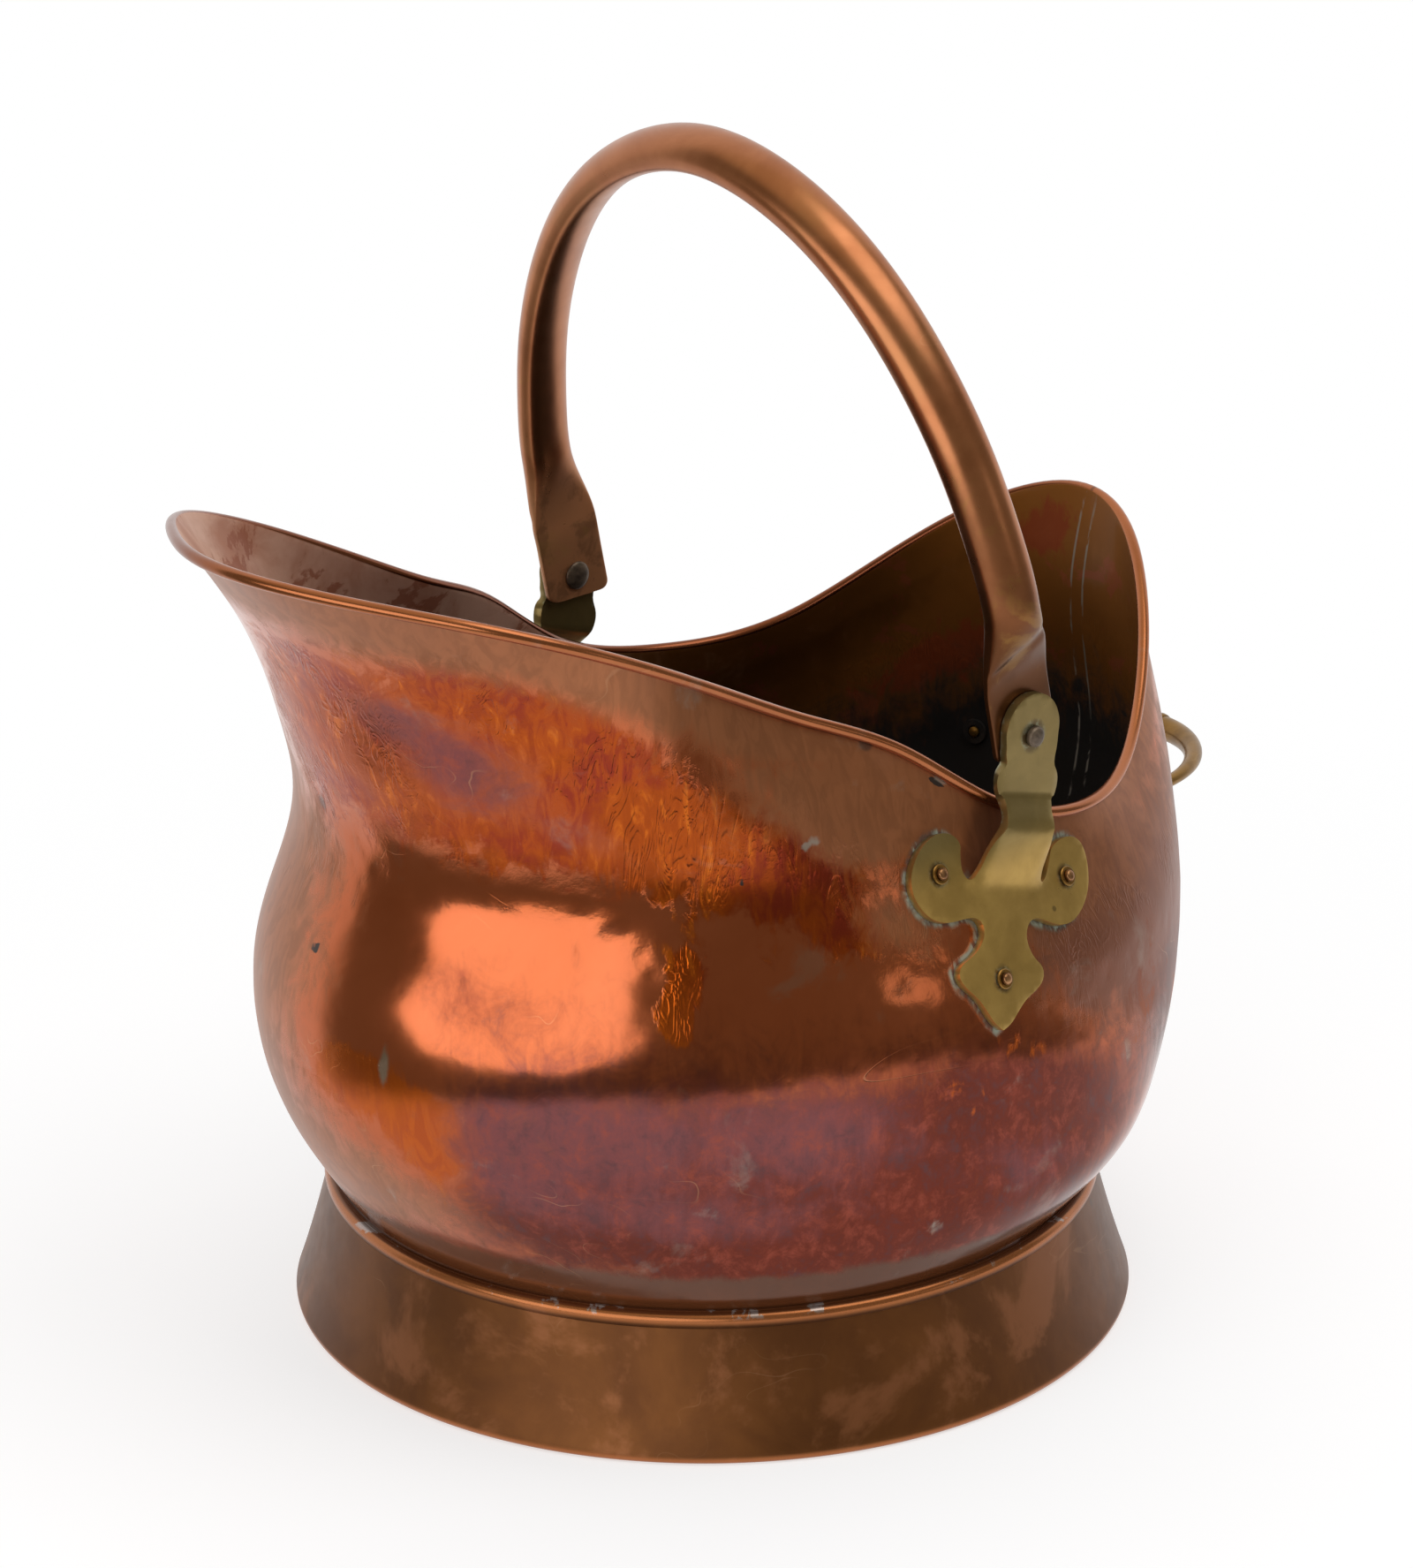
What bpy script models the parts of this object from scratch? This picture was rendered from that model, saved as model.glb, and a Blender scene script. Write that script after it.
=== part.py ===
"""Copper helmet coal scuttle: an oval beaten body on a flared foot, with a swinging
bail, two brass ears and a small fixed grip at the back.

Metres, +Z up. The pouring lip points to -Y, the hinge of the bail runs along X, and
the ground is at zero height. A turn is the angle round the body, zero at the lip and
growing towards +X. A rise is zero at the joint with the foot and one at the rim.
"""

import math

import bmesh
import bpy
import numpy as np
from mathutils import Matrix, Vector

# Whole sizes
BELLY_RADIUS = 0.1357
LIP_HEIGHT = 0.2714
JOINT_HEIGHT = 0.0443
FOOT_RADIUS = 0.130
SHEET = 0.0009
CLEARANCE = 0.0003
OVERRUN = 0.004

# Shape of the wall: at each level its mean radius, how far it leans to the lip, how
# oval it is, and how pear-shaped, all as shares of the belly radius
LEVEL_SHARES = (0.0, 0.14, 0.28, 0.42, 0.56, 0.70, 0.85)
ROUND_SHARES = (0.855, 0.951, 0.996, 1.001, 0.969, 0.946, 0.931)
LEAN_SHARES = (0.0, 0.005, -0.009, -0.045, -0.095, -0.085, -0.037)
OVAL_SHARES = (0.0, 0.027, 0.073, 0.088, 0.091, 0.131, 0.189)
PEAR_SHARES = (0.0, 0.027, 0.021, 0.001, -0.011, 0.018, 0.024)

# Rim line from lip to back: turn as a share of half a turn, reach as a share of the
# belly radius, and height as a share of the lip height
RIM_TURN_SHARES = (0.0, 0.083, 0.167, 0.25, 0.361, 0.472, 0.583, 0.694, 0.806, 0.917, 1.0)
RIM_REACH_SHARES = (1.293, 1.226, 1.107, 0.861, 0.683, 0.681, 0.749, 0.854, 0.957, 1.100, 1.178)
RIM_HEIGHT_SHARES = (1.0, 0.988, 0.956, 0.875, 0.793, 0.739, 0.652, 0.612, 0.643, 0.766, 0.820)

# Rolled edges
RIM_WIRE_RADIUS = 0.0007
FOOT_WIRE_RADIUS = 0.0010
RIM_ROLL_TURN = math.radians(280)
RIM_ROLL_STEPS = 7
FOOT_ROLL_TURN = math.radians(307)
FOOT_ROLL_STEPS = 8

# Turned-in bottom edge of the wall, and the floor pan that lies on it
EDGE_BEND = 0.003
EDGE_WIDTH = 0.014
EDGE_DROP = 0.0065
PAN_UPTURN = 0.003

# Foot
BEAD_RADIUS = 0.0023
BEAD_DROP = 0.0033
BEAD_END_LEAN = math.radians(37)
FOOT_COLLAR = 0.0006

# Bail and its pivots, which stand over one turn of the rim. The shares give the half width
# and the rise of its middle line, from the pivot to the top
PIVOT_TURN = math.radians(108.76)
PIVOT_ABOVE_RIM = 0.0247
PIVOT_OUT = 0.0023
BAIL_RISE = 0.1640
BAIL_LEAN = math.radians(11.3)
BAIL_WIDTH_SHARES = (1.0, 1.0, 1.0, 1.015, 1.032, 1.007, 0.944, 0.813, 0.599, 0.312, 0.0)
BAIL_RISE_SHARES = (0.0, 0.050, 0.100, 0.160, 0.240, 0.359, 0.500, 0.672, 0.840, 0.957, 1.0)
TUBE_WIDTH = 0.0174
TUBE_OUTER_DEPTH = 0.0064
TUBE_INNER_DEPTH = 0.0061
TUBE_TWIST = math.radians(8)
TUBE_FLAT_SHARE = 0.65
STRAP_SQUARE_SHARE = 0.4
STRAP_WIDTH = 0.0242
STRAP_THICKNESS = 0.0024
STRAP_CORNER = 0.003
STRAP_CORNER_SHARES = (0.0, 0.13, 0.5, 1.0)
STRAP_BELOW = 0.0074
STRAP_SKEW = math.radians(10)
STRAP_TOP = 0.017
CRIMP_TOP = 0.042
PIN_RADIUS = 0.0025
PIN_HEAD_RADIUS = 0.0046
PIN_HEAD_THICKNESS = 0.0014
PIN_END_RADIUS = 0.0032
PIN_END_HEIGHT = 0.0022

# Ears: drop from the pivot to the tip. All shares are of the drop: the sway of the middle
# line to the lip, the outward step over the rim, and the half outline, across and down
EAR_DROP = 0.0786
EAR_THICKNESS = 0.0028
EAR_TILT = math.radians(15.5)
EAR_BLEND = 0.002
EAR_TILT_SHARES = (0.0, 0.15)
EAR_STEP = 0.005
EAR_STEP_ABOVE = 0.0067
EAR_STEP_BELOW = 0.0023
EAR_LOBE_SHARES = (0.13, 0.24)
EAR_SWAY_DOWN_SHARES = (0.0, 0.229, 0.280, 0.382, 0.534, 0.687, 0.827, 1.0)
EAR_SWAY_SHARES = (0.0, 0.029, 0.042, 0.105, 0.191, 0.265, 0.337, 0.391)
EAR_ROUND_SHARE = 0.134
EAR_ROUND_RISE_SHARE = 0.028
EAR_ACROSS_SHARES = (
    0.132, 0.130, 0.127, 0.141, 0.148, 0.141, 0.126, 0.121, 0.127, 0.137, 0.146, 0.155, 0.187,
    0.216, 0.226, 0.244, 0.286, 0.333, 0.389, 0.433, 0.457, 0.462, 0.444, 0.408, 0.358, 0.299,
    0.243, 0.193, 0.142, 0.116, 0.108, 0.125, 0.170, 0.210, 0.214, 0.192, 0.130, 0.079, 0.038,
)
EAR_DOWN_SHARES = (
    0.022, 0.067, 0.106, 0.137, 0.178, 0.223, 0.267, 0.299, 0.331, 0.375, 0.433, 0.483, 0.522,
    0.499, 0.461, 0.420, 0.392, 0.384, 0.396, 0.431, 0.477, 0.531, 0.580, 0.622, 0.653, 0.664,
    0.658, 0.648, 0.649, 0.667, 0.697, 0.733, 0.771, 0.802, 0.822, 0.854, 0.893, 0.938, 0.978,
)
EAR_CUT_DOWN_SHARES = (
    0.216, 0.242, 0.268, 0.294, 0.320, 0.346, 0.400, 0.450, 0.500, 0.550, 0.630, 0.760, 0.870,
)
EAR_CUT_ACROSS_SHARES = (0.13, 0.24, 0.35)
EAR_RIVET_ACROSS_SHARE = 0.336
EAR_RIVET_DOWN_SHARE = 0.514
EAR_LOW_RIVET_SHARE = 0.831
RIVET_RADIUS = 0.0015
RIVET_HEAD_RADIUS = 0.0036
RIVET_HEAD_THICKNESS = 0.0010
RIVET_END_RADIUS = 0.0021
RIVET_END_HEIGHT = 0.0011
BURR_RADIUS = 0.0030
BURR_THICKNESS = 0.0007
HEAD_EDGE_SHARE = 0.85
END_TIP_SHARE = 0.6

# Rear grip
GRIP_HEIGHT = 0.133
GRIP_HALF_WIDTH = 0.038
GRIP_REACH = 0.2015
GRIP_FOOT_RADIUS = 0.0018
GRIP_MIDDLE_RADIUS = 0.0039
GRIP_START_SHARE = 0.12
GRIP_KNOP_RADIUS = 0.0045
GRIP_KNOP_HALF = 0.0020
GRIP_FLANGE_RADIUS = 0.0045
GRIP_FLANGE_THICKNESS = 0.0016
GRIP_TENON_RADIUS = 0.0019
GRIP_TENON_END = 0.0010
GRIP_BURR_RADIUS = 0.0042
GRIP_BURR_THICKNESS = 0.0009

# Fineness of the faceted solids
AROUND = 48
WALL_ROWS = 17
TUBE_SIDES = 12
WIRE_SIDES = 5
RIVET_SIDES = 12
GRIP_SIDES = 10

# Small step for reading the direction of a surface, as a share of a turn or a rise
NUDGE_SHARE = 0.0001

COPPER = (0.60, 0.25, 0.13)
BRASS = (0.62, 0.47, 0.22)
IRON = (0.10, 0.08, 0.07)
SOOT = (0.05, 0.04, 0.035)


def clear_scene():
    """Removes what Blender starts with."""
    for item in list(bpy.data.objects):
        bpy.data.objects.remove(item, do_unlink=True)


def paint(item, colour, roughness):
    """Gives an object its own metal."""
    metal = bpy.data.materials.new(item.name + "_metal")
    metal.use_nodes = True
    shader = metal.node_tree.nodes["Principled BSDF"]
    shader.inputs["Base Color"].default_value = (*colour, 1.0)
    shader.inputs["Metallic"].default_value = 1.0
    shader.inputs["Roughness"].default_value = roughness
    item.data.materials.append(metal)


def mesh_object(name, points, faces):
    """Makes an object from points and faces, with every face turned outward."""
    mesh = bpy.data.meshes.new(name)
    mesh.from_pydata([tuple(point) for point in points], [], faces)
    work = bmesh.new()
    work.from_mesh(mesh)
    bmesh.ops.recalc_face_normals(work, faces=work.faces)
    work.to_mesh(mesh)
    work.free()
    item = bpy.data.objects.new(name, mesh)
    bpy.context.scene.collection.objects.link(item)
    return item


def cutter(name, pieces):
    """Joins closed pieces into one hidden shape that only cuts."""
    points = []
    faces = []
    for piece_points, piece_faces in pieces:
        start = len(points)
        points.extend(piece_points)
        faces.extend([tuple(start + corner for corner in face) for face in piece_faces])
    item = mesh_object(name, points, faces)
    item.hide_render = True
    item.display_type = "WIRE"
    return item


def cut(item, tool):
    """Takes the cutter away from the object."""
    change = item.modifiers.new("Holes", "BOOLEAN")
    change.operation = "DIFFERENCE"
    change.solver = "EXACT"
    change.object = tool


def curve(knots, values, at, level_ends=False):
    """Reads a smooth curve through the values, one column of values for each reading."""
    knots = np.asarray(knots, float)
    values = np.asarray(values, float)
    if values.ndim == 1:
        values = values[:, None]
    at = np.asarray(at, float)
    count, columns = values.shape
    step = np.diff(knots)
    slope = np.diff(values, axis=0) / step[:, None]
    system = np.eye(count)
    wanted = np.zeros((count, columns))
    for row in range(1, count - 1):
        system[row, row - 1 : row + 2] = (step[row - 1], 2 * (step[row - 1] + step[row]), step[row])
        wanted[row] = 6 * (slope[row] - slope[row - 1])
    if level_ends:
        system[0, :2] = (2 * step[0], step[0])
        wanted[0] = 6 * slope[0]
        system[-1, -2:] = (step[-1], 2 * step[-1])
        wanted[-1] = -6 * slope[-1]
    bend = np.linalg.solve(system, wanted)
    below = np.clip(np.searchsorted(knots, at, side="right") - 1, 0, count - 2)
    column = np.arange(columns) if columns > 1 else 0
    gap = step[below]
    after = (at - knots[below]) / gap
    before = 1 - after
    straight = before * values[below, column] + after * values[below + 1, column]
    bowed = (before**3 - before) * bend[below, column] + (after**3 - after) * bend[below + 1, column]
    return straight + bowed * gap**2 / 6


def ease(share):
    """Rises smoothly from zero to one."""
    share = np.clip(share, 0.0, 1.0)
    return share * share * (3 - 2 * share)


def unit(vectors):
    """Scales vectors to length one."""
    vectors = np.asarray(vectors, float)
    return vectors / np.linalg.norm(vectors, axis=-1, keepdims=True)


def rim_reach(turn):
    """Distance of the rim from the upright axis."""
    return BELLY_RADIUS * curve(np.pi * np.array(RIM_TURN_SHARES), RIM_REACH_SHARES, turn, True)


def rim_height(turn):
    """Height of the rim above the ground."""
    return LIP_HEIGHT * curve(np.pi * np.array(RIM_TURN_SHARES), RIM_HEIGHT_SHARES, turn, True)


def wall(turn, rise):
    """Points on the middle of the copper sheet."""
    turn = np.asarray(turn, float)
    rise = np.asarray(rise, float)
    fold = np.abs((turn + np.pi) % (2 * np.pi) - np.pi)
    levels = zip(ROUND_SHARES, LEAN_SHARES, OVAL_SHARES, PEAR_SHARES)
    rows = [
        BELLY_RADIUS * (mean + lean * np.cos(fold) + oval * np.cos(2 * fold) + pear * np.cos(3 * fold))
        for mean, lean, oval, pear in levels
    ]
    rows.append(rim_reach(fold))
    radius = curve((*LEVEL_SHARES, 1.0), np.array(rows), rise)
    height = JOINT_HEIGHT + rise * (rim_height(fold) - JOINT_HEIGHT)
    return np.stack([radius * np.sin(turn), -radius * np.cos(turn), height], -1)


def wall_frame(turn, rise):
    """Points on the wall with their outward, forward-round and upward directions."""
    nudge = NUDGE_SHARE
    point = wall(turn, rise)
    along = unit(wall(turn + nudge, rise) - wall(turn - nudge, rise))
    above = np.minimum(rise + nudge, 1.0)
    up = wall(turn, above) - wall(turn, above - 2 * nudge)
    outward = unit(np.cross(along, up))
    return point, outward, along, np.cross(outward, along)


def pivot_place():
    """Half width of the bail at its pivots, and their depth and height, all from the rim."""
    rim = wall(PIVOT_TURN, 1.0)
    return float(rim[0]) + PIVOT_OUT, float(rim[1]), float(rim[2]) + PIVOT_ABOVE_RIM


BAIL_HALF_WIDTH, PIVOT_BACK, PIVOT_HEIGHT = pivot_place()


def loop_ring(name, middle, outward, thickness):
    """Sheet metal swept round the axis: middle and outward are rows by turns by xyz."""
    outer = middle + outward * thickness / 2
    inner = middle - outward * thickness / 2
    loops = np.concatenate([outer, inner[::-1]]).transpose(1, 0, 2)
    return ring_of_loops(name, loops)


def ring_of_loops(name, loops):
    """Joins closed loops into a closed ring."""
    turns, sides, _ = loops.shape
    faces = []
    for turn in range(turns):
        start = turn * sides
        after = (turn + 1) % turns * sides
        for side in range(sides):
            beyond = (side + 1) % sides
            faces.append((start + side, after + side, after + beyond, start + beyond))
    return mesh_object(name, loops.reshape(-1, 3), faces)


def bar_mesh(loops):
    """Points and faces of a solid bar through the loops, with flat ends."""
    count, sides, _ = loops.shape
    faces = [tuple(range(sides)), tuple(range((count - 1) * sides, count * sides))]
    for row in range(count - 1):
        for side in range(sides):
            beyond = (side + 1) % sides
            start = row * sides
            after = start + sides
            faces.append((start + side, start + beyond, after + beyond, after + side))
    return loops.reshape(-1, 3), faces


def turned_mesh(foot, axis, profile, sides):
    """Points and faces of a shape turned on an axis: the profile gives (along, radius)."""
    axis = Vector(axis).normalized()
    across = axis.orthogonal().normalized()
    other = axis.cross(across)
    angles = np.arange(sides) * 2 * np.pi / sides
    circle = np.outer(np.cos(angles), across) + np.outer(np.sin(angles), other)
    loops = [np.array(foot) + along * np.array(axis) + radius * circle for along, radius in profile]
    return bar_mesh(np.array(loops))


def turned_ring(name, foot, axis, inner, outer, bottom, top, sides):
    """A flat washer on an axis."""
    axis = Vector(axis).normalized()
    across = axis.orthogonal().normalized()
    other = axis.cross(across)
    angles = np.arange(sides) * 2 * np.pi / sides
    circle = np.outer(np.cos(angles), across) + np.outer(np.sin(angles), other)
    corners = ((bottom, inner), (bottom, outer), (top, outer), (top, inner))
    loops = [np.array(foot) + along * np.array(axis) + radius * circle for along, radius in corners]
    return ring_of_loops(name, np.array(loops).transpose(1, 0, 2))


def rim_roll_radius():
    """Radius from the wire's middle to the middle of the sheet rolled round it."""
    return RIM_WIRE_RADIUS + CLEARANCE + SHEET / 2


def build_body(turns):
    """The beaten copper wall, turned in at the bottom and rolled outward at the rim."""
    count = len(turns)
    radial = np.stack([np.sin(turns), -np.cos(turns), np.zeros(count)], -1)
    upward = np.array([0.0, 0.0, 1.0])
    joint_radius = ROUND_SHARES[0] * BELLY_RADIUS
    edge_height = JOINT_HEIGHT - EDGE_DROP
    middle = [radial * (joint_radius - EDGE_WIDTH) + upward * edge_height]
    outward = [np.tile(-upward, (count, 1))]
    for angle in np.linspace(0.0, np.pi / 2, 3):
        direction = radial * np.sin(angle) - upward * np.cos(angle)
        centre = radial * (joint_radius - EDGE_BEND) + upward * (edge_height + EDGE_BEND)
        middle.append(centre + direction * EDGE_BEND)
        outward.append(direction)
    for rise in np.linspace(0.0, 1.0, WALL_ROWS):
        point, out, _, _ = wall_frame(turns, np.full(count, rise))
        middle.append(point)
        outward.append(radial if rise == 0 else out)
    point, out, _, up = wall_frame(turns, np.ones(count))
    roll = rim_roll_radius()
    for angle in np.linspace(0.0, RIM_ROLL_TURN, RIM_ROLL_STEPS + 1)[1:]:
        direction = up * np.sin(angle) - out * np.cos(angle)
        middle.append(point + out * roll + direction * roll)
        outward.append(-direction)
    item = loop_ring("body_shell", np.array(middle), np.array(outward), SHEET)
    paint(item, COPPER, 0.25)
    return item


def build_rim_wire(turns):
    """The stiffening wire inside the rolled rim."""
    point, out, _, up = wall_frame(turns, np.ones(len(turns)))
    centre = point + out * rim_roll_radius()
    angles = np.arange(WIRE_SIDES) * 2 * np.pi / WIRE_SIDES
    loops = [
        centre + RIM_WIRE_RADIUS * (out * np.cos(angle) + up * np.sin(angle)) for angle in angles
    ]
    item = ring_of_loops("rim_wire", np.array(loops).transpose(1, 0, 2))
    paint(item, IRON, 0.5)


def build_floor(turns):
    """The floor pan, dished at its edge and lying on the turned-in edge of the wall."""
    joint_radius = ROUND_SHARES[0] * BELLY_RADIUS
    bottom = JOINT_HEIGHT - EDGE_DROP + SHEET / 2 + CLEARANCE
    outside = joint_radius - SHEET / 2 - CLEARANCE
    corner = outside - EDGE_BEND
    bend_top = bottom + EDGE_BEND
    top = bend_top + PAN_UPTURN
    profile = (
        (corner, bottom),
        (outside, bend_top),
        (outside, top),
        (outside - SHEET, top),
        (outside - SHEET, bend_top + SHEET / 2),
        (corner - SHEET / 2, bottom + SHEET),
    )
    loops = [
        [(radius * np.sin(turn), -radius * np.cos(turn), height) for turn in turns]
        for radius, height in profile
    ]
    item = mesh_object("floor_pan", *bar_mesh(np.array(loops)))
    paint(item, SOOT, 0.7)


def foot_roll_radius():
    """Radius from the foot wire's middle to the middle of the sheet rolled round it."""
    return FOOT_WIRE_RADIUS + CLEARANCE + SHEET / 2


def foot_roll_centre():
    """Radius and height of the middle of the foot wire. The lowest facet lies on the ground."""
    outside = foot_roll_radius() + SHEET / 2
    return FOOT_RADIUS - outside, outside * math.cos(FOOT_ROLL_TURN / FOOT_ROLL_STEPS / 2)


def build_foot(turns):
    """The flared foot: a collar round the wall, a bead, a cone and a rolled ground edge."""
    collar = ROUND_SHARES[0] * BELLY_RADIUS + SHEET + CLEARANCE
    bead_height = JOINT_HEIGHT - BEAD_DROP
    profile = [(collar, bead_height + BEAD_RADIUS + FOOT_COLLAR)]
    side = [(1.0, 0.0)]
    for angle in np.linspace(np.pi / 2, -np.pi / 2, 5):
        profile.append((collar + BEAD_RADIUS * np.cos(angle), bead_height + BEAD_RADIUS * np.sin(angle)))
        lean = np.clip(angle, -BEAD_END_LEAN, BEAD_END_LEAN)
        side.append((np.cos(lean), np.sin(lean)))
    centre_radius, centre_height = foot_roll_centre()
    roll = foot_roll_radius()
    step = FOOT_ROLL_TURN / FOOT_ROLL_STEPS
    start = np.pi / 2 - step * 2.5
    for angle in start + step * np.arange(FOOT_ROLL_STEPS + 1):
        profile.append((centre_radius - roll * np.cos(angle), centre_height - roll * np.sin(angle)))
        side.append((np.cos(angle), np.sin(angle)))
    profile = np.array(profile)
    side = np.array(side)
    radial = np.stack([np.sin(turns), -np.cos(turns), np.zeros(len(turns))], -1)
    upward = np.array([0.0, 0.0, 1.0])
    middle = profile[:, None, :1] * radial + profile[:, None, 1:] * upward
    outward = side[:, None, :1] * radial + side[:, None, 1:] * upward
    item = loop_ring("foot_ring", middle, outward, SHEET)
    paint(item, COPPER, 0.3)


def build_foot_wire(turns):
    """The stiffening wire inside the rolled ground edge."""
    centre_radius, centre_height = foot_roll_centre()
    angles = np.arange(WIRE_SIDES) * 2 * np.pi / WIRE_SIDES
    loops = []
    for turn in turns:
        radial = np.array([np.sin(turn), -np.cos(turn), 0.0])
        radius = centre_radius + FOOT_WIRE_RADIUS * np.cos(angles)
        height = centre_height + FOOT_WIRE_RADIUS * np.sin(angles)
        loops.append(radius[:, None] * radial + height[:, None] * np.array([0.0, 0.0, 1.0]))
    item = ring_of_loops("foot_wire", np.array(loops))
    paint(item, IRON, 0.5)


def bail_places():
    """Half widths and rises that the middle line of the bail goes through, end to end."""
    across = BAIL_HALF_WIDTH * np.array((1.0, *BAIL_WIDTH_SHARES))
    rise = np.array((-STRAP_BELOW, *(BAIL_RISE * share for share in BAIL_RISE_SHARES)))
    half = np.stack([across, rise], -1)
    return np.concatenate([half, half[-2::-1] * np.array([-1.0, 1.0])])


def bail_rows(length):
    """Distances along the bail at which it is sectioned, closest at its ends."""
    corner = STRAP_CORNER * np.array(STRAP_CORNER_SHARES)
    crimp = np.linspace(STRAP_BELOW + STRAP_TOP, STRAP_BELOW + CRIMP_TOP, 6)
    arch = np.linspace(STRAP_BELOW + CRIMP_TOP, length / 2, 12)[1:]
    half = np.concatenate([corner, crimp, arch])
    return np.concatenate([half, length - half[-2::-1]])


def bail_section(rise, distance, wall_inset):
    """Corners of one cross section: how far outward, to the back and up along the path."""
    crimp = float(ease((rise - STRAP_TOP) / (CRIMP_TOP - STRAP_TOP)))
    short = 1 - min(distance / STRAP_CORNER, 1.0)
    corner = STRAP_CORNER * (1 - math.sqrt(1 - short * short))
    width = (STRAP_WIDTH + (TUBE_WIDTH - STRAP_WIDTH) * crimp) / 2 - corner - wall_inset
    flat = STRAP_THICKNESS / 2
    outer = flat + (TUBE_OUTER_DEPTH - flat) * crimp - wall_inset
    inner = flat + (TUBE_INNER_DEPTH - flat) * crimp - wall_inset
    square = STRAP_SQUARE_SHARE
    round_power = square + (1 - square) * crimp
    flat_power = square + (TUBE_FLAT_SHARE - square) * crimp
    angles = (np.arange(TUBE_SIDES) * 2 + 1) * np.pi / TUBE_SIDES
    sine = np.sin(angles)
    cosine = np.cos(angles)
    power = np.where(sine > 0, round_power, flat_power)
    depth = np.where(sine > 0, outer, inner) * np.sign(sine) * np.abs(sine) ** power
    side = width * np.sign(cosine) * np.abs(cosine) ** round_power
    twist = TUBE_TWIST * crimp
    skew = math.tan(STRAP_SKEW) * float(1 - ease(distance / (STRAP_BELOW + STRAP_TOP)))
    turned = depth * math.cos(twist) + side * math.sin(twist)
    return turned, side * math.cos(twist) - depth * math.sin(twist), -side * skew


def bail_loops(wall_inset):
    """Cross sections of the bail from the +X end over the top to the -X end."""
    places = bail_places()
    steps = np.hypot(*np.diff(places, axis=0).T)
    knots = np.concatenate([[0.0], np.cumsum(steps)])
    length = knots[-1]
    nudge = length / 1000
    loops = []
    for distance in bail_rows(length):
        at = np.clip(np.array([distance - nudge, distance, distance + nudge]), 0.0, length)
        across = curve(knots, places[:, 0], at)
        rise = curve(knots, places[:, 1], at)
        ahead = unit([across[2] - across[0], rise[2] - rise[0]])
        depth, side, up = bail_section(rise[1], min(distance, length - distance), wall_inset)
        loops.append(np.stack([across[1] + depth * ahead[1], side, rise[1] - depth * ahead[0] + up], -1))
    return np.array(loops)


def lean_points(points):
    """Leans points given above the pivot towards the lip, and moves them onto it."""
    sine = math.sin(BAIL_LEAN)
    cosine = math.cos(BAIL_LEAN)
    across, depth, rise = points[..., 0], points[..., 1], points[..., 2]
    return np.stack([
        across, PIVOT_BACK + depth * cosine - rise * sine, PIVOT_HEIGHT + rise * cosine + depth * sine
    ], -1)


def build_bail():
    """The bail: a copper tube pressed flat at both ends, hollow and open at both ends."""
    outside = lean_points(bail_loops(0.0))
    inside = lean_points(bail_loops(SHEET))
    count, sides, _ = outside.shape
    points = np.concatenate([outside.reshape(-1, 3), inside.reshape(-1, 3)])
    shift = count * sides
    faces = []
    for side in range(sides):
        beyond = (side + 1) % sides
        for row in range(count - 1):
            start = row * sides
            quad = (start + side, start + beyond, start + sides + beyond, start + sides + side)
            faces.append(quad)
            faces.append(tuple(shift + corner for corner in reversed(quad)))
        last = (count - 1) * sides
        faces.append((side, shift + side, shift + beyond, beyond))
        faces.append((last + side, last + beyond, shift + last + beyond, shift + last + side))
    item = mesh_object("bail", points, faces)
    hole = PIN_RADIUS + CLEARANCE
    pieces = []
    profile = ((0.0, hole), (OVERRUN + OVERRUN, hole))
    for side in (1, -1):
        start = (side * (BAIL_HALF_WIDTH - OVERRUN), PIVOT_BACK, PIVOT_HEIGHT)
        pieces.append(turned_mesh(start, (side, 0, 0), profile, RIVET_SIDES))
    cut(item, cutter("bail_holes", pieces))
    paint(item, COPPER, 0.3)
    return item


def tab_inside():
    """Distance of the inner face of an ear's upright tab from the middle of the scuttle."""
    return BAIL_HALF_WIDTH + STRAP_THICKNESS / 2 + CLEARANCE


def wall_half_width(back, height):
    """How far out the wall's outer side is, at places given by depth and height."""
    low = np.full(len(back), np.pi / 4)
    high = np.full(len(back), np.pi * 5 / 6)
    for _ in range(40):
        turn = (low + high) / 2
        rise = np.clip((height - JOINT_HEIGHT) / (rim_height(turn) - JOINT_HEIGHT), 0.0, 1.0)
        point = wall(turn, rise)
        before = point[:, 1] < back
        low = np.where(before, turn, low)
        high = np.where(before, high, turn)
    return point[:, 0] + SHEET / 2


def between(place, shares):
    """How far a place is between two shares of an ear's drop, rising from zero to one."""
    return ease((place / EAR_DROP - shares[0]) / (shares[1] - shares[0]))


def ear_guide(across, down):
    """Where the back of an ear lies, before the clearance: on the tab's plane or the wall."""
    sway = EAR_DROP * curve(EAR_SWAY_DOWN_SHARES, EAR_SWAY_SHARES, np.maximum(down, 0.0) / EAR_DROP)
    tilt = EAR_TILT * between(down, EAR_TILT_SHARES)
    back = PIVOT_BACK - sway + across * np.cos(tilt)
    height = PIVOT_HEIGHT - down - across * np.sin(tilt)
    wide = wall_half_width(back, height)
    stepped = (down - PIVOT_ABOVE_RIM + EAR_STEP_ABOVE) / (EAR_STEP_ABOVE + EAR_STEP_BELOW)
    tab = tab_inside() - CLEARANCE + EAR_STEP * ease(stepped)
    lobe = between(np.abs(across), EAR_LOBE_SHARES)
    tab = np.maximum(tab - wide, 0.0) * (1 - lobe) + np.minimum(tab, wide)
    near = np.maximum(EAR_BLEND - np.abs(wide - tab), 0.0) * (1 - lobe)
    out = np.maximum(wide, tab) + near**2 / (4 * EAR_BLEND)
    return np.stack([out, back, height], -1)


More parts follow.
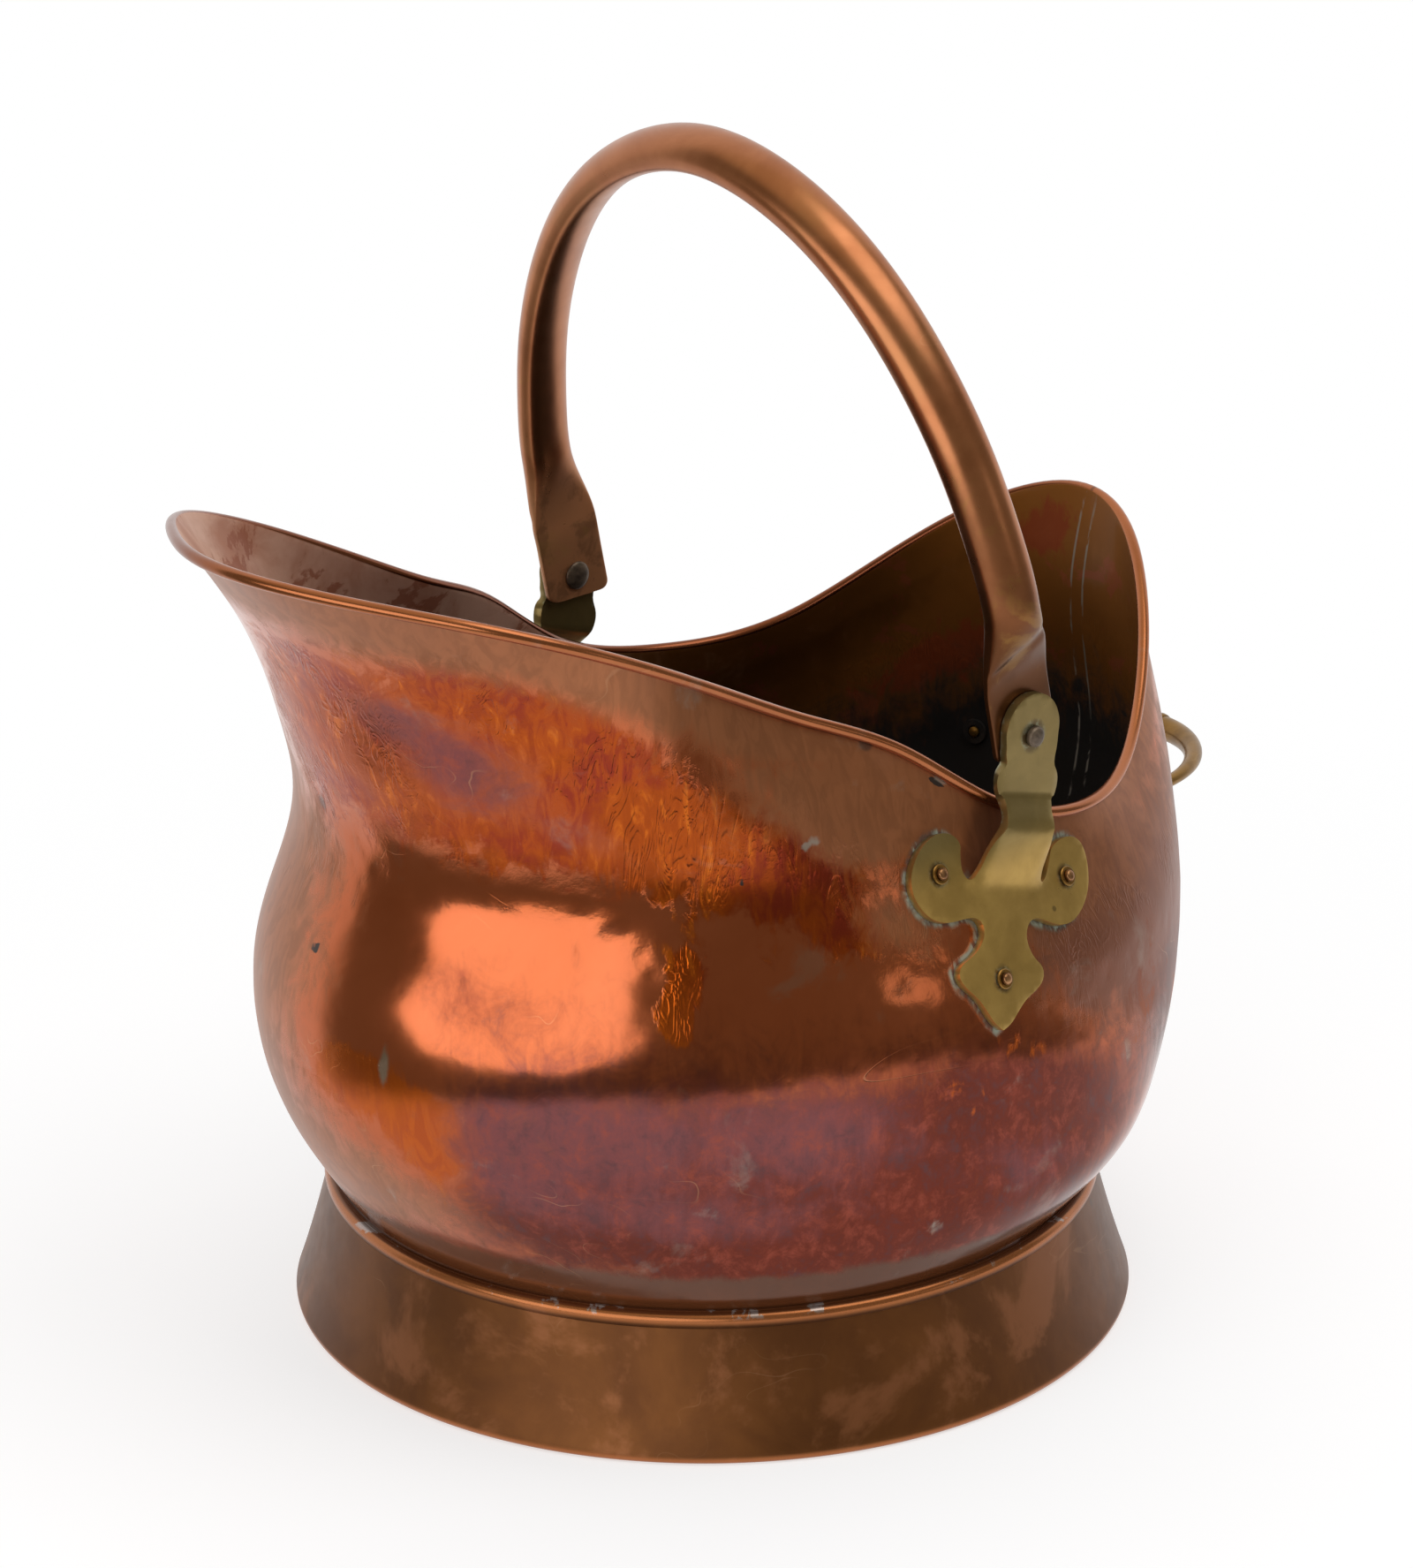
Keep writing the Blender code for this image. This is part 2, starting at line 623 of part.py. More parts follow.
def ear_frame(across, down):
    """Points of the ear's guide with their outward directions."""
    nudge = BELLY_RADIUS / 1000
    point = ear_guide(across, down)
    over = ear_guide(across + nudge, down) - ear_guide(across - nudge, down)
    under = ear_guide(across, down + nudge) - ear_guide(across, down - nudge)
    outward = unit(np.cross(under, over))
    return point, outward * np.sign(outward[:, :1])


def ear_outline():
    """The whole outline of an ear, across and down from the pivot."""
    half = []
    for angle in np.linspace(0.0, np.pi / 2, 7):
        across = EAR_ROUND_SHARE * math.sin(angle)
        down = -EAR_ROUND_RISE_SHARE - EAR_ROUND_SHARE * math.cos(angle)
        half.append((across, down))
    half.extend(zip(EAR_ACROSS_SHARES, EAR_DOWN_SHARES))
    half.append((0.0, 1.0))
    other = [(-across, down) for across, down in half[-2:0:-1]]
    return EAR_DROP * np.array(half + other)


def ear_sheet():
    """The flat ear as points and triangles, cut up finely enough to bend."""
    work = bmesh.new()
    corners = [work.verts.new((across, down, 0.0)) for across, down in ear_outline()]
    work.faces.new(corners)
    lines = [((0.0, share * EAR_DROP, 0.0), (0.0, 1.0, 0.0)) for share in EAR_CUT_DOWN_SHARES]
    for share in (0.0, *EAR_CUT_ACROSS_SHARES):
        for side in (1, -1) if share else (1,):
            lines.append(((side * share * EAR_DROP, 0.0, 0.0), (1.0, 0.0, 0.0)))
    for place, facing in lines:
        whole = work.verts[:] + work.edges[:] + work.faces[:]
        bmesh.ops.bisect_plane(work, geom=whole, plane_co=place, plane_no=facing)
    bmesh.ops.triangulate(work, faces=work.faces[:])
    work.verts.index_update()
    points = np.array([tuple(corner.co)[:2] for corner in work.verts])
    faces = [tuple(corner.index for corner in face.verts) for face in work.faces]
    edges = [tuple(corner.index for corner in edge.verts) for edge in work.edges if edge.is_boundary]
    work.free()
    return points, faces, edges


def rivet_places():
    """Where the three rivets of an ear sit, across and down from the pivot."""
    side = EAR_RIVET_ACROSS_SHARE * EAR_DROP
    down = EAR_RIVET_DOWN_SHARE * EAR_DROP
    low = EAR_LOW_RIVET_SHARE * EAR_DROP
    return (("front", -side, down), ("back", side, down), ("low", 0.0, low))


def rivet_frame(across, down, side):
    """A rivet's place on the wall's outer face, its axis, and the gap from there to its ear."""
    nudge = BELLY_RADIUS / 1000
    guide = ear_guide(np.array([across]), np.array([down]))[0]
    back = guide[1] + nudge * np.array([0.0, 1.0, -1.0, 0.0, 0.0])
    height = guide[2] + nudge * np.array([0.0, 0.0, 0.0, 1.0, -1.0])
    wide = wall_half_width(back, height)
    outward = unit([nudge * 2, wide[2] - wide[1], wide[4] - wide[3]])
    flip = np.array([side, 1.0, 1.0])
    place = np.array([wide[0], guide[1], guide[2]])
    return place * flip, outward * flip, (guide[0] - wide[0]) * outward[0]


def build_ear(side, word):
    """A brass ear, bent over the rim and down onto the belly."""
    flat, triangles, border = ear_sheet()
    point, outward = ear_frame(flat[:, 0], flat[:, 1])
    flip = np.array([side, 1.0, 1.0])
    back = (point + outward * CLEARANCE) * flip
    face = (point + outward * (CLEARANCE + EAR_THICKNESS)) * flip
    count = len(flat)
    faces = [tuple(reversed(triangle)) for triangle in triangles]
    faces += [tuple(count + corner for corner in triangle) for triangle in triangles]
    faces += [(first, second, count + second, count + first) for first, second in border]
    item = mesh_object(word + "_ear", np.concatenate([back, face]), faces)
    pieces = []
    for _, across, down in rivet_places():
        place, axis, _ = rivet_frame(across, down, side)
        hole = RIVET_RADIUS + CLEARANCE
        profile = ((-OVERRUN / 2, hole), (EAR_THICKNESS + OVERRUN, hole))
        pieces.append(turned_mesh(place, axis, profile, RIVET_SIDES))
    hole = PIN_RADIUS + CLEARANCE
    profile = ((0.0, hole), (OVERRUN + OVERRUN, hole))
    start = (side * (tab_inside() - OVERRUN / 2), PIVOT_BACK, PIVOT_HEIGHT)
    pieces.append(turned_mesh(start, (side, 0, 0), profile, RIVET_SIDES))
    cut(item, cutter(word + "_ear_holes", pieces))
    paint(item, BRASS, 0.35)


def build_ear_rivets(side, word):
    """Three rivets with flat heads inside the wall and burrs under their hammered ends."""
    for place_word, across, down in rivet_places():
        place, axis, gap = rivet_frame(across, down, side)
        head = -SHEET - CLEARANCE * 2
        burr = gap + CLEARANCE * 2 + EAR_THICKNESS
        end = burr + BURR_THICKNESS + CLEARANCE
        profile = (
            (head - RIVET_HEAD_THICKNESS, RIVET_HEAD_RADIUS * HEAD_EDGE_SHARE),
            (head - RIVET_HEAD_THICKNESS / 2, RIVET_HEAD_RADIUS),
            (head, RIVET_HEAD_RADIUS),
            (head, RIVET_RADIUS),
            (end, RIVET_RADIUS),
            (end, RIVET_END_RADIUS),
            (end + RIVET_END_HEIGHT, RIVET_END_RADIUS * END_TIP_SHARE),
        )
        name = word + "_ear_" + place_word
        rivet = mesh_object(name + "_rivet", *turned_mesh(place, axis, profile, RIVET_SIDES))
        paint(rivet, COPPER, 0.4)
        burr_hole = RIVET_RADIUS + CLEARANCE
        washer = turned_ring(
            name + "_burr", place, axis, burr_hole, BURR_RADIUS, burr, burr + BURR_THICKNESS, RIVET_SIDES
        )
        paint(washer, BRASS, 0.5)


def build_pivot(side, word):
    """The iron pin on which one end of the bail turns, fixed in the ear's tab."""
    head = BAIL_HALF_WIDTH - STRAP_THICKNESS / 2 - CLEARANCE
    end = tab_inside() + EAR_THICKNESS + CLEARANCE
    profile = (
        (head - PIN_HEAD_THICKNESS, PIN_HEAD_RADIUS * HEAD_EDGE_SHARE),
        (head - PIN_HEAD_THICKNESS / 2, PIN_HEAD_RADIUS),
        (head, PIN_HEAD_RADIUS),
        (head, PIN_RADIUS),
        (end, PIN_RADIUS),
        (end, PIN_END_RADIUS),
        (end + PIN_END_HEIGHT / 2, PIN_END_RADIUS),
        (end + PIN_END_HEIGHT, PIN_END_RADIUS * END_TIP_SHARE),
    )
    foot = (0.0, PIVOT_BACK, PIVOT_HEIGHT)
    item = mesh_object(word + "_pivot_pin", *turned_mesh(foot, (side, 0, 0), profile, RIVET_SIDES))
    paint(item, IRON, 0.5)


def flat_wall(turn, height):
    """The middle of the faceted wall between two of its upright edges."""
    step = 2 * np.pi / AROUND
    start = np.floor(turn / step) * step
    ends = np.array([start, start + step])
    rises = (height - JOINT_HEIGHT) / (rim_height(ends) - JOINT_HEIGHT)
    first, second = wall(ends, rises)
    return first + (second - first) * (turn - start) / step


def grip_foot():
    """Where the +X foot of the grip goes through the wall, and the wall's direction there."""
    low = np.pi * 3 / 4
    high = np.pi
    for _ in range(40):
        turn = (low + high) / 2
        if flat_wall(turn, GRIP_HEIGHT)[0] > GRIP_HALF_WIDTH:
            low = turn
        else:
            high = turn
    nudge = BELLY_RADIUS / 1000
    point = flat_wall(turn, GRIP_HEIGHT)
    along = flat_wall(turn + nudge, GRIP_HEIGHT) - point
    up = flat_wall(turn, GRIP_HEIGHT + nudge) - point
    return point, unit(np.cross(along, up))


def build_grip():
    """The fixed brass grip: a bowed bar with a knop, flanged feet and riveted tenons."""
    foot, out = grip_foot()
    tenon_end = SHEET / 2 + CLEARANCE + CLEARANCE + GRIP_BURR_THICKNESS + GRIP_TENON_END
    flange = SHEET / 2 + CLEARANCE
    bar = flange + GRIP_FLANGE_THICKNESS
    rows = [
        (foot - out * tenon_end, out, GRIP_TENON_RADIUS),
        (foot + out * flange, out, GRIP_TENON_RADIUS),
        (foot + out * flange, out, GRIP_FLANGE_RADIUS),
        (foot + out * bar, out, GRIP_FLANGE_RADIUS),
        (foot + out * bar, out, GRIP_FOOT_RADIUS),
    ]
    start = foot + out * bar
    reach = GRIP_REACH - GRIP_MIDDLE_RADIUS - start[1]
    for angle in np.linspace(GRIP_START_SHARE, 1.0, 9) * np.pi / 2:
        place = np.array([start[0] * np.cos(angle), start[1] + reach * np.sin(angle), GRIP_HEIGHT])
        ahead = unit(np.array([-start[0] * np.sin(angle), reach * np.cos(angle), 0.0]))
        radius = GRIP_FOOT_RADIUS + (GRIP_MIDDLE_RADIUS - GRIP_FOOT_RADIUS) * np.sin(angle) ** 2
        rows.append((place, ahead, radius))
    rows.pop()
    middle = np.array([0.0, start[1] + reach, GRIP_HEIGHT])
    ahead = np.array([-1.0, 0.0, 0.0])
    for offset, radius in (
        (GRIP_KNOP_HALF, GRIP_MIDDLE_RADIUS),
        (GRIP_KNOP_HALF / 2, GRIP_KNOP_RADIUS),
        (0.0, GRIP_KNOP_RADIUS),
    ):
        rows.append((middle + np.array([offset, 0.0, 0.0]), ahead, radius))
    angles = np.arange(GRIP_SIDES) * 2 * np.pi / GRIP_SIDES
    upward = np.array([0.0, 0.0, 1.0])
    loops = []
    for place, ahead, radius in rows:
        side = unit(np.cross(ahead, upward))
        rise = np.cross(side, ahead)
        loops.append(place + radius * (np.outer(np.cos(angles), side) + np.outer(np.sin(angles), rise)))
    loops = np.array(loops)
    mirrored = loops[:-1][::-1] * np.array([-1.0, 1.0, 1.0])
    item = mesh_object("rear_grip", *bar_mesh(np.concatenate([loops, mirrored])))
    paint(item, BRASS, 0.35)
    for side, word in ((1, "left"), (-1, "right")):
        flip = np.array([side, 1.0, 1.0])
        near = -SHEET / 2 - CLEARANCE - CLEARANCE
        washer = turned_ring(
            word + "_grip_burr", foot * flip, out * flip, GRIP_TENON_RADIUS + CLEARANCE,
            GRIP_BURR_RADIUS, near - GRIP_BURR_THICKNESS, near, RIVET_SIDES,
        )
        paint(washer, BRASS, 0.5)


def wall_holes():
    """Cuts the rivet and tenon holes through the wall."""
    pieces = []
    for side in (1, -1):
        flip = np.array([side, 1.0, 1.0])
        for _, across, down in rivet_places():
            place, axis, _ = rivet_frame(across, down, side)
            hole = RIVET_RADIUS + CLEARANCE
            pieces.append(turned_mesh(place, axis, ((-OVERRUN, hole), (OVERRUN, hole)), RIVET_SIDES))
        foot, out = grip_foot()
        hole = GRIP_TENON_RADIUS + CLEARANCE
        profile = ((-OVERRUN, hole), (OVERRUN, hole))
        pieces.append(turned_mesh(foot * flip, out * flip, profile, RIVET_SIDES))
    return cutter("wall_holes", pieces)


def centre_all():
    """Moves everything so that the middle of its length lies over the origin."""
    solids = [item for item in bpy.context.scene.objects if not item.hide_render]
    depths = [corner.co.y for item in solids for corner in item.data.vertices]
    shift = -(min(depths) + max(depths)) / 2
    for item in bpy.context.scene.objects:
        item.data.transform(Matrix.Translation((0.0, shift, 0.0)))
    return shift


def put_origin(item, place):
    """Moves the origin of an object without moving its shape."""
    item.data.transform(Matrix.Translation(-Vector(place)))
    item.location = place


def build():
    """Makes the whole scuttle."""
    clear_scene()
    turns = np.arange(AROUND) * 2 * np.pi / AROUND
    body = build_body(turns)
    cut(body, wall_holes())
    build_rim_wire(turns)
    build_floor(turns)
    build_foot(turns)
    build_foot_wire(turns)
    bail = build_bail()
    for side, word in ((1, "left"), (-1, "right")):
        build_ear(side, word)
        build_ear_rivets(side, word)
        build_pivot(side, word)
    build_grip()
    shift = centre_all()
    put_origin(bail, (0.0, PIVOT_BACK + shift, PIVOT_HEIGHT))
    print("moved by", round(shift, 6), "pivot at", round(PIVOT_BACK + shift, 6))


build()
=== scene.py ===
# %% [markdown]
# # A copper helmet coal scuttle
# This notebook dresses a finished frame of plain solids so that it looks like the real
# object: an oval bowl beaten from sheet copper, a flared foot, a tube bail on two brass
# ears and a small brass grip at the back. The frame decides where each piece is and how
# large it is. Here every piece gets a smooth surface and an aged metal finish.

# %% Load the frame
import math

import bmesh
import bpy
import numpy as np
from mathutils import Matrix, Vector


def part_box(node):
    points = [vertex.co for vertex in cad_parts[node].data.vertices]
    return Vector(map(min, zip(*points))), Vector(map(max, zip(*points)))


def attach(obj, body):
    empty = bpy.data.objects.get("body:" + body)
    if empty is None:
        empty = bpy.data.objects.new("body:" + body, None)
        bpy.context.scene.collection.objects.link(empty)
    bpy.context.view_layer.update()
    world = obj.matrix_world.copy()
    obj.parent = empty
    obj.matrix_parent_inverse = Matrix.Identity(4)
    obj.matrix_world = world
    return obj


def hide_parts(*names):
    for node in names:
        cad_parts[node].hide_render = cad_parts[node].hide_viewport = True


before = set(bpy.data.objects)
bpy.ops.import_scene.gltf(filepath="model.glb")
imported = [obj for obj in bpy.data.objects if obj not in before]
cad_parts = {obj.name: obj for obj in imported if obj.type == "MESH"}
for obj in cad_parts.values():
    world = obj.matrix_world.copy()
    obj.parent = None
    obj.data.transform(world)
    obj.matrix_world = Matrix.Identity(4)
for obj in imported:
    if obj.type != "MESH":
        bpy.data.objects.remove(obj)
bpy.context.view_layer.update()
low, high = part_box("foot_ring")
FOOT_BACK = (low.y + high.y) / 2
FOOT_MIDDLE = np.array([0.0, FOOT_BACK, 0.0])
upward = np.array([0.0, 0.0, 1.0])
print("middle of the foot at", round(FOOT_BACK, 5))

# %% [markdown]
# ## Reading a smooth line through a few values
# The bowl has no simple formula: a smith raises it by eye. Its shape is given as short
# rows of shares, and a smooth line goes through them. A cubic spline is the right tool,
# because it has no corners in slope or in bend, and a mirror finish would show both.


# %% Smooth lines
def smooth_line(knots, values, at, level_ends=False):
    """Natural cubic spline: between two knots the value is the straight blend of both
    ends plus (share cubed minus share) times the bend at each end times a sixth of the
    squared gap. The bends come from one linear system that makes the slopes meet."""
    knots = np.asarray(knots, float)
    values = np.asarray(values, float)
    values = values[:, None] if values.ndim == 1 else values
    at = np.asarray(at, float)
    count, columns = values.shape
    step = np.diff(knots)
    slope = np.diff(values, axis=0) / step[:, None]
    system = np.eye(count)
    wanted = np.zeros((count, columns))
    for row in range(1, count - 1):
        system[row, row - 1 : row + 2] = (step[row - 1], 2 * (step[row - 1] + step[row]), step[row])
        wanted[row] = 6 * (slope[row] - slope[row - 1])
    if level_ends:
        system[0, :2] = (2 * step[0], step[0])
        wanted[0] = 6 * slope[0]
        system[-1, -2:] = (step[-1], 2 * step[-1])
        wanted[-1] = -6 * slope[-1]
    bend = np.linalg.solve(system, wanted)
    below = np.clip(np.searchsorted(knots, at, side="right") - 1, 0, count - 2)
    column = np.arange(columns) if columns > 1 else 0
    gap = step[below]
    after = (at - knots[below]) / gap
    before = 1 - after
    straight = before * values[below, column] + after * values[below + 1, column]
    bowed = (before**3 - before) * bend[below, column]
    bowed = bowed + (after**3 - after) * bend[below + 1, column]
    return straight + bowed * gap**2 / 6


def ease(share):
    """Three times the square less twice the cube: a soft step from zero to one."""
    share = np.clip(share, 0.0, 1.0)
    return share * share * (3 - 2 * share)


def unit(vectors):
    """Each vector divided by its own length."""
    vectors = np.asarray(vectors, float)
    return vectors / np.linalg.norm(vectors, axis=-1, keepdims=True)


def full_turn(count):
    """Equal steps of an angle, once round."""
    return np.arange(count) * 2 * np.pi / count


def from_axis(turns):
    """Level directions out from the bowl's axis: zero points at the lip."""
    return np.stack([np.sin(turns), -np.cos(turns), 0 * turns], -1)


def travelled(points):
    """How far along a flat line each of its points is: the running sum of its steps."""
    return np.concatenate([[0.0], np.cumsum(np.hypot(*np.diff(points, axis=0).T))])


def mirrored(side):
    """What a place is multiplied by to stand on the side of plus or minus one."""
    return np.array([side, 1.0, 1.0])


# %% [markdown]
# ## The wall of the bowl
# Seen from above, each level of the bowl is an oval that leans towards the lip. A mean
# radius and three cosines of the turn describe such a level. The turn is the angle round
# the bowl, zero at the lip, and the rise goes from zero at the foot to one at the rim.

# %% The wall as a function of turn and rise
BELLY_RADIUS = 0.1357
LIP_HEIGHT = 0.2714
JOINT_HEIGHT = 0.0443
SHEET = 0.0009
CLEARANCE = 0.0003
LEVEL_SHARES = (0.0, 0.14, 0.28, 0.42, 0.56, 0.70, 0.85)
ROUND_SHARES = (0.855, 0.951, 0.996, 1.001, 0.969, 0.946, 0.931)
LEAN_SHARES = (0.0, 0.005, -0.009, -0.045, -0.095, -0.085, -0.037)
OVAL_SHARES = (0.0, 0.027, 0.073, 0.088, 0.091, 0.131, 0.189)
PEAR_SHARES = (0.0, 0.027, 0.021, 0.001, -0.011, 0.018, 0.024)
RIM_TURN_SHARES = (0.0, 0.083, 0.167, 0.25, 0.361, 0.472, 0.583, 0.694, 0.806, 0.917, 1.0)
RIM_REACH_SHARES = (1.293, 1.226, 1.107, 0.861, 0.683, 0.681, 0.749, 0.854, 0.957, 1.100, 1.178)
RIM_HEIGHT_SHARES = (1.0, 0.988, 0.956, 0.875, 0.793, 0.739, 0.652, 0.612, 0.643, 0.766, 0.820)


def rim_height(turn):
    """Height of the rim: a smooth line through its shares of the lip's height."""
    knots = np.pi * np.array(RIM_TURN_SHARES)
    return LIP_HEIGHT * smooth_line(knots, RIM_HEIGHT_SHARES, turn, True)


def wall(turn, rise):
    """Radius is mean + lean cos t + oval cos 2t + pear cos 3t at each level, read smoothly
    over the rise up to the rim's own line. Height goes straight from joint to rim."""
    turn = np.asarray(turn, float)
    rise = np.asarray(rise, float)
    fold = np.abs((turn + np.pi) % (2 * np.pi) - np.pi)
    rows = []
    for mean, lean, oval, pear in zip(ROUND_SHARES, LEAN_SHARES, OVAL_SHARES, PEAR_SHARES):
        level = mean + lean * np.cos(fold) + oval * np.cos(2 * fold) + pear * np.cos(3 * fold)
        rows.append(BELLY_RADIUS * level)
    rim = smooth_line(np.pi * np.array(RIM_TURN_SHARES), RIM_REACH_SHARES, fold, True)
    rows.append(BELLY_RADIUS * rim)
    radius = smooth_line((*LEVEL_SHARES, 1.0), np.array(rows), rise)
    height = JOINT_HEIGHT + rise * (rim_height(fold) - JOINT_HEIGHT)
    return np.stack([radius * np.sin(turn), -radius * np.cos(turn), height], -1)


def wall_frame(turn, rise, nudge=0.0001):
    """The wall's point, its outward direction and its upward direction, from the cross
    product of two small steps along the surface."""
    along = unit(wall(turn + nudge, rise) - wall(turn - nudge, rise))
    above = np.minimum(rise + nudge, 1.0)
    up = wall(turn, above) - wall(turn, above - 2 * nudge)
    outward = unit(np.cross(along, up))
    return wall(turn, rise), outward, np.cross(outward, along)


print("rim from", round(float(rim_height(np.array([2.2]))[0]), 4), "to", LIP_HEIGHT, "m high")

# %% [markdown]
# ## From numbers to meshes
# All pieces but the ears are grids of points: one direction goes round or along the piece,
# the other goes round its section. Two helpers join such grids with four-sided faces. The
# signed volume says whether the faces point outwards, and if not they are turned.


# %% Mesh helpers
def signed_volume(points, quads):
    """A sixth of the sum of triple products of each face's corners, two triangles each."""
    a, b, c, d = (points[quads[:, corner]] for corner in range(4))
    return ((np.cross(a, b) * c).sum() + (np.cross(a, c) * d).sum()) / 6


def into_scene(name, data):
    """A new object that holds the data, linked into the scene."""
    piece = bpy.data.objects.new(name, data)
    bpy.context.scene.collection.objects.link(piece)
    return piece


def mesh_piece(name, points, faces):
    """A piece with these faces. Its points are counted from the middle of the foot."""
    mesh = bpy.data.meshes.new(name)
    mesh.from_pydata((points + FOOT_MIDDLE).tolist(), [], faces)
    return into_scene(name, mesh)


def piece_from_quads(name, points, quads, caps=(), crisp=40):
    """Makes a smooth-shaded piece that is sharp only where it turns by more than crisp."""
    if signed_volume(points - points.mean(0), quads) < 0:
        quads = quads[:, ::-1]
        caps = [cap[::-1] for cap in caps]
    piece = mesh_piece(name, points, quads.tolist() + [list(cap) for cap in caps])
    piece.data.update()
    piece.data.shade_smooth()
    piece.data.set_sharp_from_angle(angle=math.radians(crisp))
    return piece


def ring_piece(name, loops):
    """Closed loops round a closed ring: each point joins the next on its loop and the same
    one on the next loop."""
    turns, places, _ = loops.shape
    here = np.arange(turns * places).reshape(turns, places)
    after = np.roll(here, -1, 0)
    quads = np.stack([here, after, np.roll(after, -1, 1), np.roll(here, -1, 1)], -1)
    return piece_from_quads(name, loops.reshape(-1, 3), quads.reshape(-1, 4))


def sheet_piece(name, middle, outward):
    """A ring of sheet metal: half its thickness out along the outer side, and half back."""
    reach = outward * SHEET / 2
    loops = np.concatenate([middle + reach, (middle - reach)[::-1]])
    return ring_piece(name, loops.transpose(1, 0, 2))


def bar_piece(name, loops, crisp=40):
    """Closed loops along an open line, with a flat cap on the first and the last."""
    rows, places, _ = loops.shape
    here = np.arange(rows * places).reshape(rows, places)
    first, after = here[:-1], here[1:]
    quads = np.stack([first, np.roll(first, -1, 1), np.roll(after, -1, 1), after], -1)
    caps = here[0][::-1], here[-1]
    return piece_from_quads(name, loops.reshape(-1, 3), quads.reshape(-1, 4), caps, crisp)


def turned_loops(foot, axis, profile, sides):
    """Circles round an axis: foot plus along times the axis plus radius times a unit
    circle square to it."""
    axis = unit(axis)
    across = unit(np.cross(axis, (0.31, 0.27, 0.91)))
    other = np.cross(axis, across)
    angles = full_turn(sides)
    circle = np.outer(np.cos(angles), across) + np.outer(np.sin(angles), other)
    profile = np.asarray(profile, float)
    return np.asarray(foot) + profile[:, :1, None] * axis + profile[:, 1:, None] * circle


def washer_piece(name, place, axis, profile):
    """A closed profile carried round an axis, in forty steps."""
    return ring_piece(name, turned_loops(place, axis, profile, 40).transpose(1, 0, 2))


def give_value(piece, name, values):
    """Stores one number per point, which a material can read by name."""
    field = piece.data.attributes.new(name, "FLOAT", "POINT")
    field.data.foreach_set("value", np.asarray(values, np.float32).ravel())


# %% [markdown]
# ## The beaten bowl
# A real bowl is one sheet, turned in under the floor, swept up to the rim and rolled
# round an iron wire. So the section is a single line with a thickness, and the bowl is
# that section carried round. Planishing leaves the sheet faintly uneven, which a few
# sums of sines add: too little to see in the outline, enough to bend reflections.

# %% The bowl's surface
BOWL_TURNS = 324
BOWL_ROWS = 118
EDGE_BEND = 0.003
EDGE_WIDTH = 0.014
EDGE_DROP = 0.0065
RIM_ROLL = 0.00136
RIM_ROLL_TURN = math.radians(290)
CALM_LOW, CALM_HIGH = 0.05, 0.04
UNEVEN = 0.00006


def unevenness(turn, rise):
    """A sum of products of sines with unlike periods, from about minus one to one."""
    return (
        np.sin(13 * turn + 5 * np.sin(7 * rise)) * np.sin(17 * rise + 2)
        + np.sin(23 * turn + 1 + 4 * np.sin(11 * rise)) * np.sin(29 * rise + 1)
        + np.sin(37 * turn + 2) * np.sin(41 * rise + 3 * np.sin(5 * turn))
    ) / 2


def bowl_section(turns):
    """Rows of points on the middle of the sheet, with the direction of its outer side."""
    count = len(turns)
    radial = from_axis(turns)
    joint = ROUND_SHARES[0] * BELLY_RADIUS
    edge = JOINT_HEIGHT - EDGE_DROP
    rows = [(radial * (joint - EDGE_WIDTH) + upward * edge, -upward + 0 * radial, -0.06)]
    for angle in np.linspace(0.0, np.pi / 2, 7):
        side = radial * np.sin(angle) - upward * np.cos(angle)
        centre = radial * (joint - EDGE_BEND) + upward * (edge + EDGE_BEND)
        rows.append((centre + side * EDGE_BEND, side, -0.03))
    for rise in np.linspace(0.0, 1.0, BOWL_ROWS):
        point, out, _ = wall_frame(turns, np.full(count, rise))
        calm = ease(rise / CALM_LOW) * ease((1 - rise) / CALM_HIGH)
        point = point + out * (UNEVEN * calm * unevenness(turns, rise))[:, None]
        rows.append((point, radial if rise == 0 else out, rise))
    point, out, up = wall_frame(turns, np.ones(count))
    for angle in np.linspace(0.0, RIM_ROLL_TURN, 17)[1:]:
        side = up * np.sin(angle) - out * np.cos(angle)
        rows.append((point + out * RIM_ROLL + side * RIM_ROLL, -side, 1.0 + angle / 100))
    middle, outward, rise = zip(*rows)
    return np.array(middle), np.array(outward), np.array(rise)


turns = full_turn(BOWL_TURNS)
middle, outward, rises = bowl_section(turns)
bowl = sheet_piece("beaten_bowl", middle, outward)
bowl_rise = np.tile(np.concatenate([rises, rises[::-1]]), (BOWL_TURNS, 1))
bowl_turn = np.tile(((turns + np.pi) % (2 * np.pi) - np.pi)[:, None], (1, bowl_rise.shape[1]))
inside = np.tile(np.concatenate([0 * rises, 1 + 0 * rises]), (BOWL_TURNS, 1))
print("bowl:", len(bowl.data.vertices), "points")

# %% [markdown]
# ## The foot
# The foot is a second strip: a collar that hugs the bowl, a half-round bead, a flared
# cone and an edge rolled round a wire. It is the same on every side, so one section of
# radius and height is enough, and a spin makes the ring.

# %% The foot's surface
FOOT_RADIUS = 0.130
FOOT_TURNS = 288
BEAD_RADIUS = 0.0023
BEAD_DROP = 0.0033
BEAD_ARC = (90, -38)
FLARE = 0.1
FOOT_COLLAR = 0.0006
FOOT_WIRE_RADIUS = 0.0010
FOOT_ROLL_TURN = math.radians(300)
SHOULDER = 0.0014


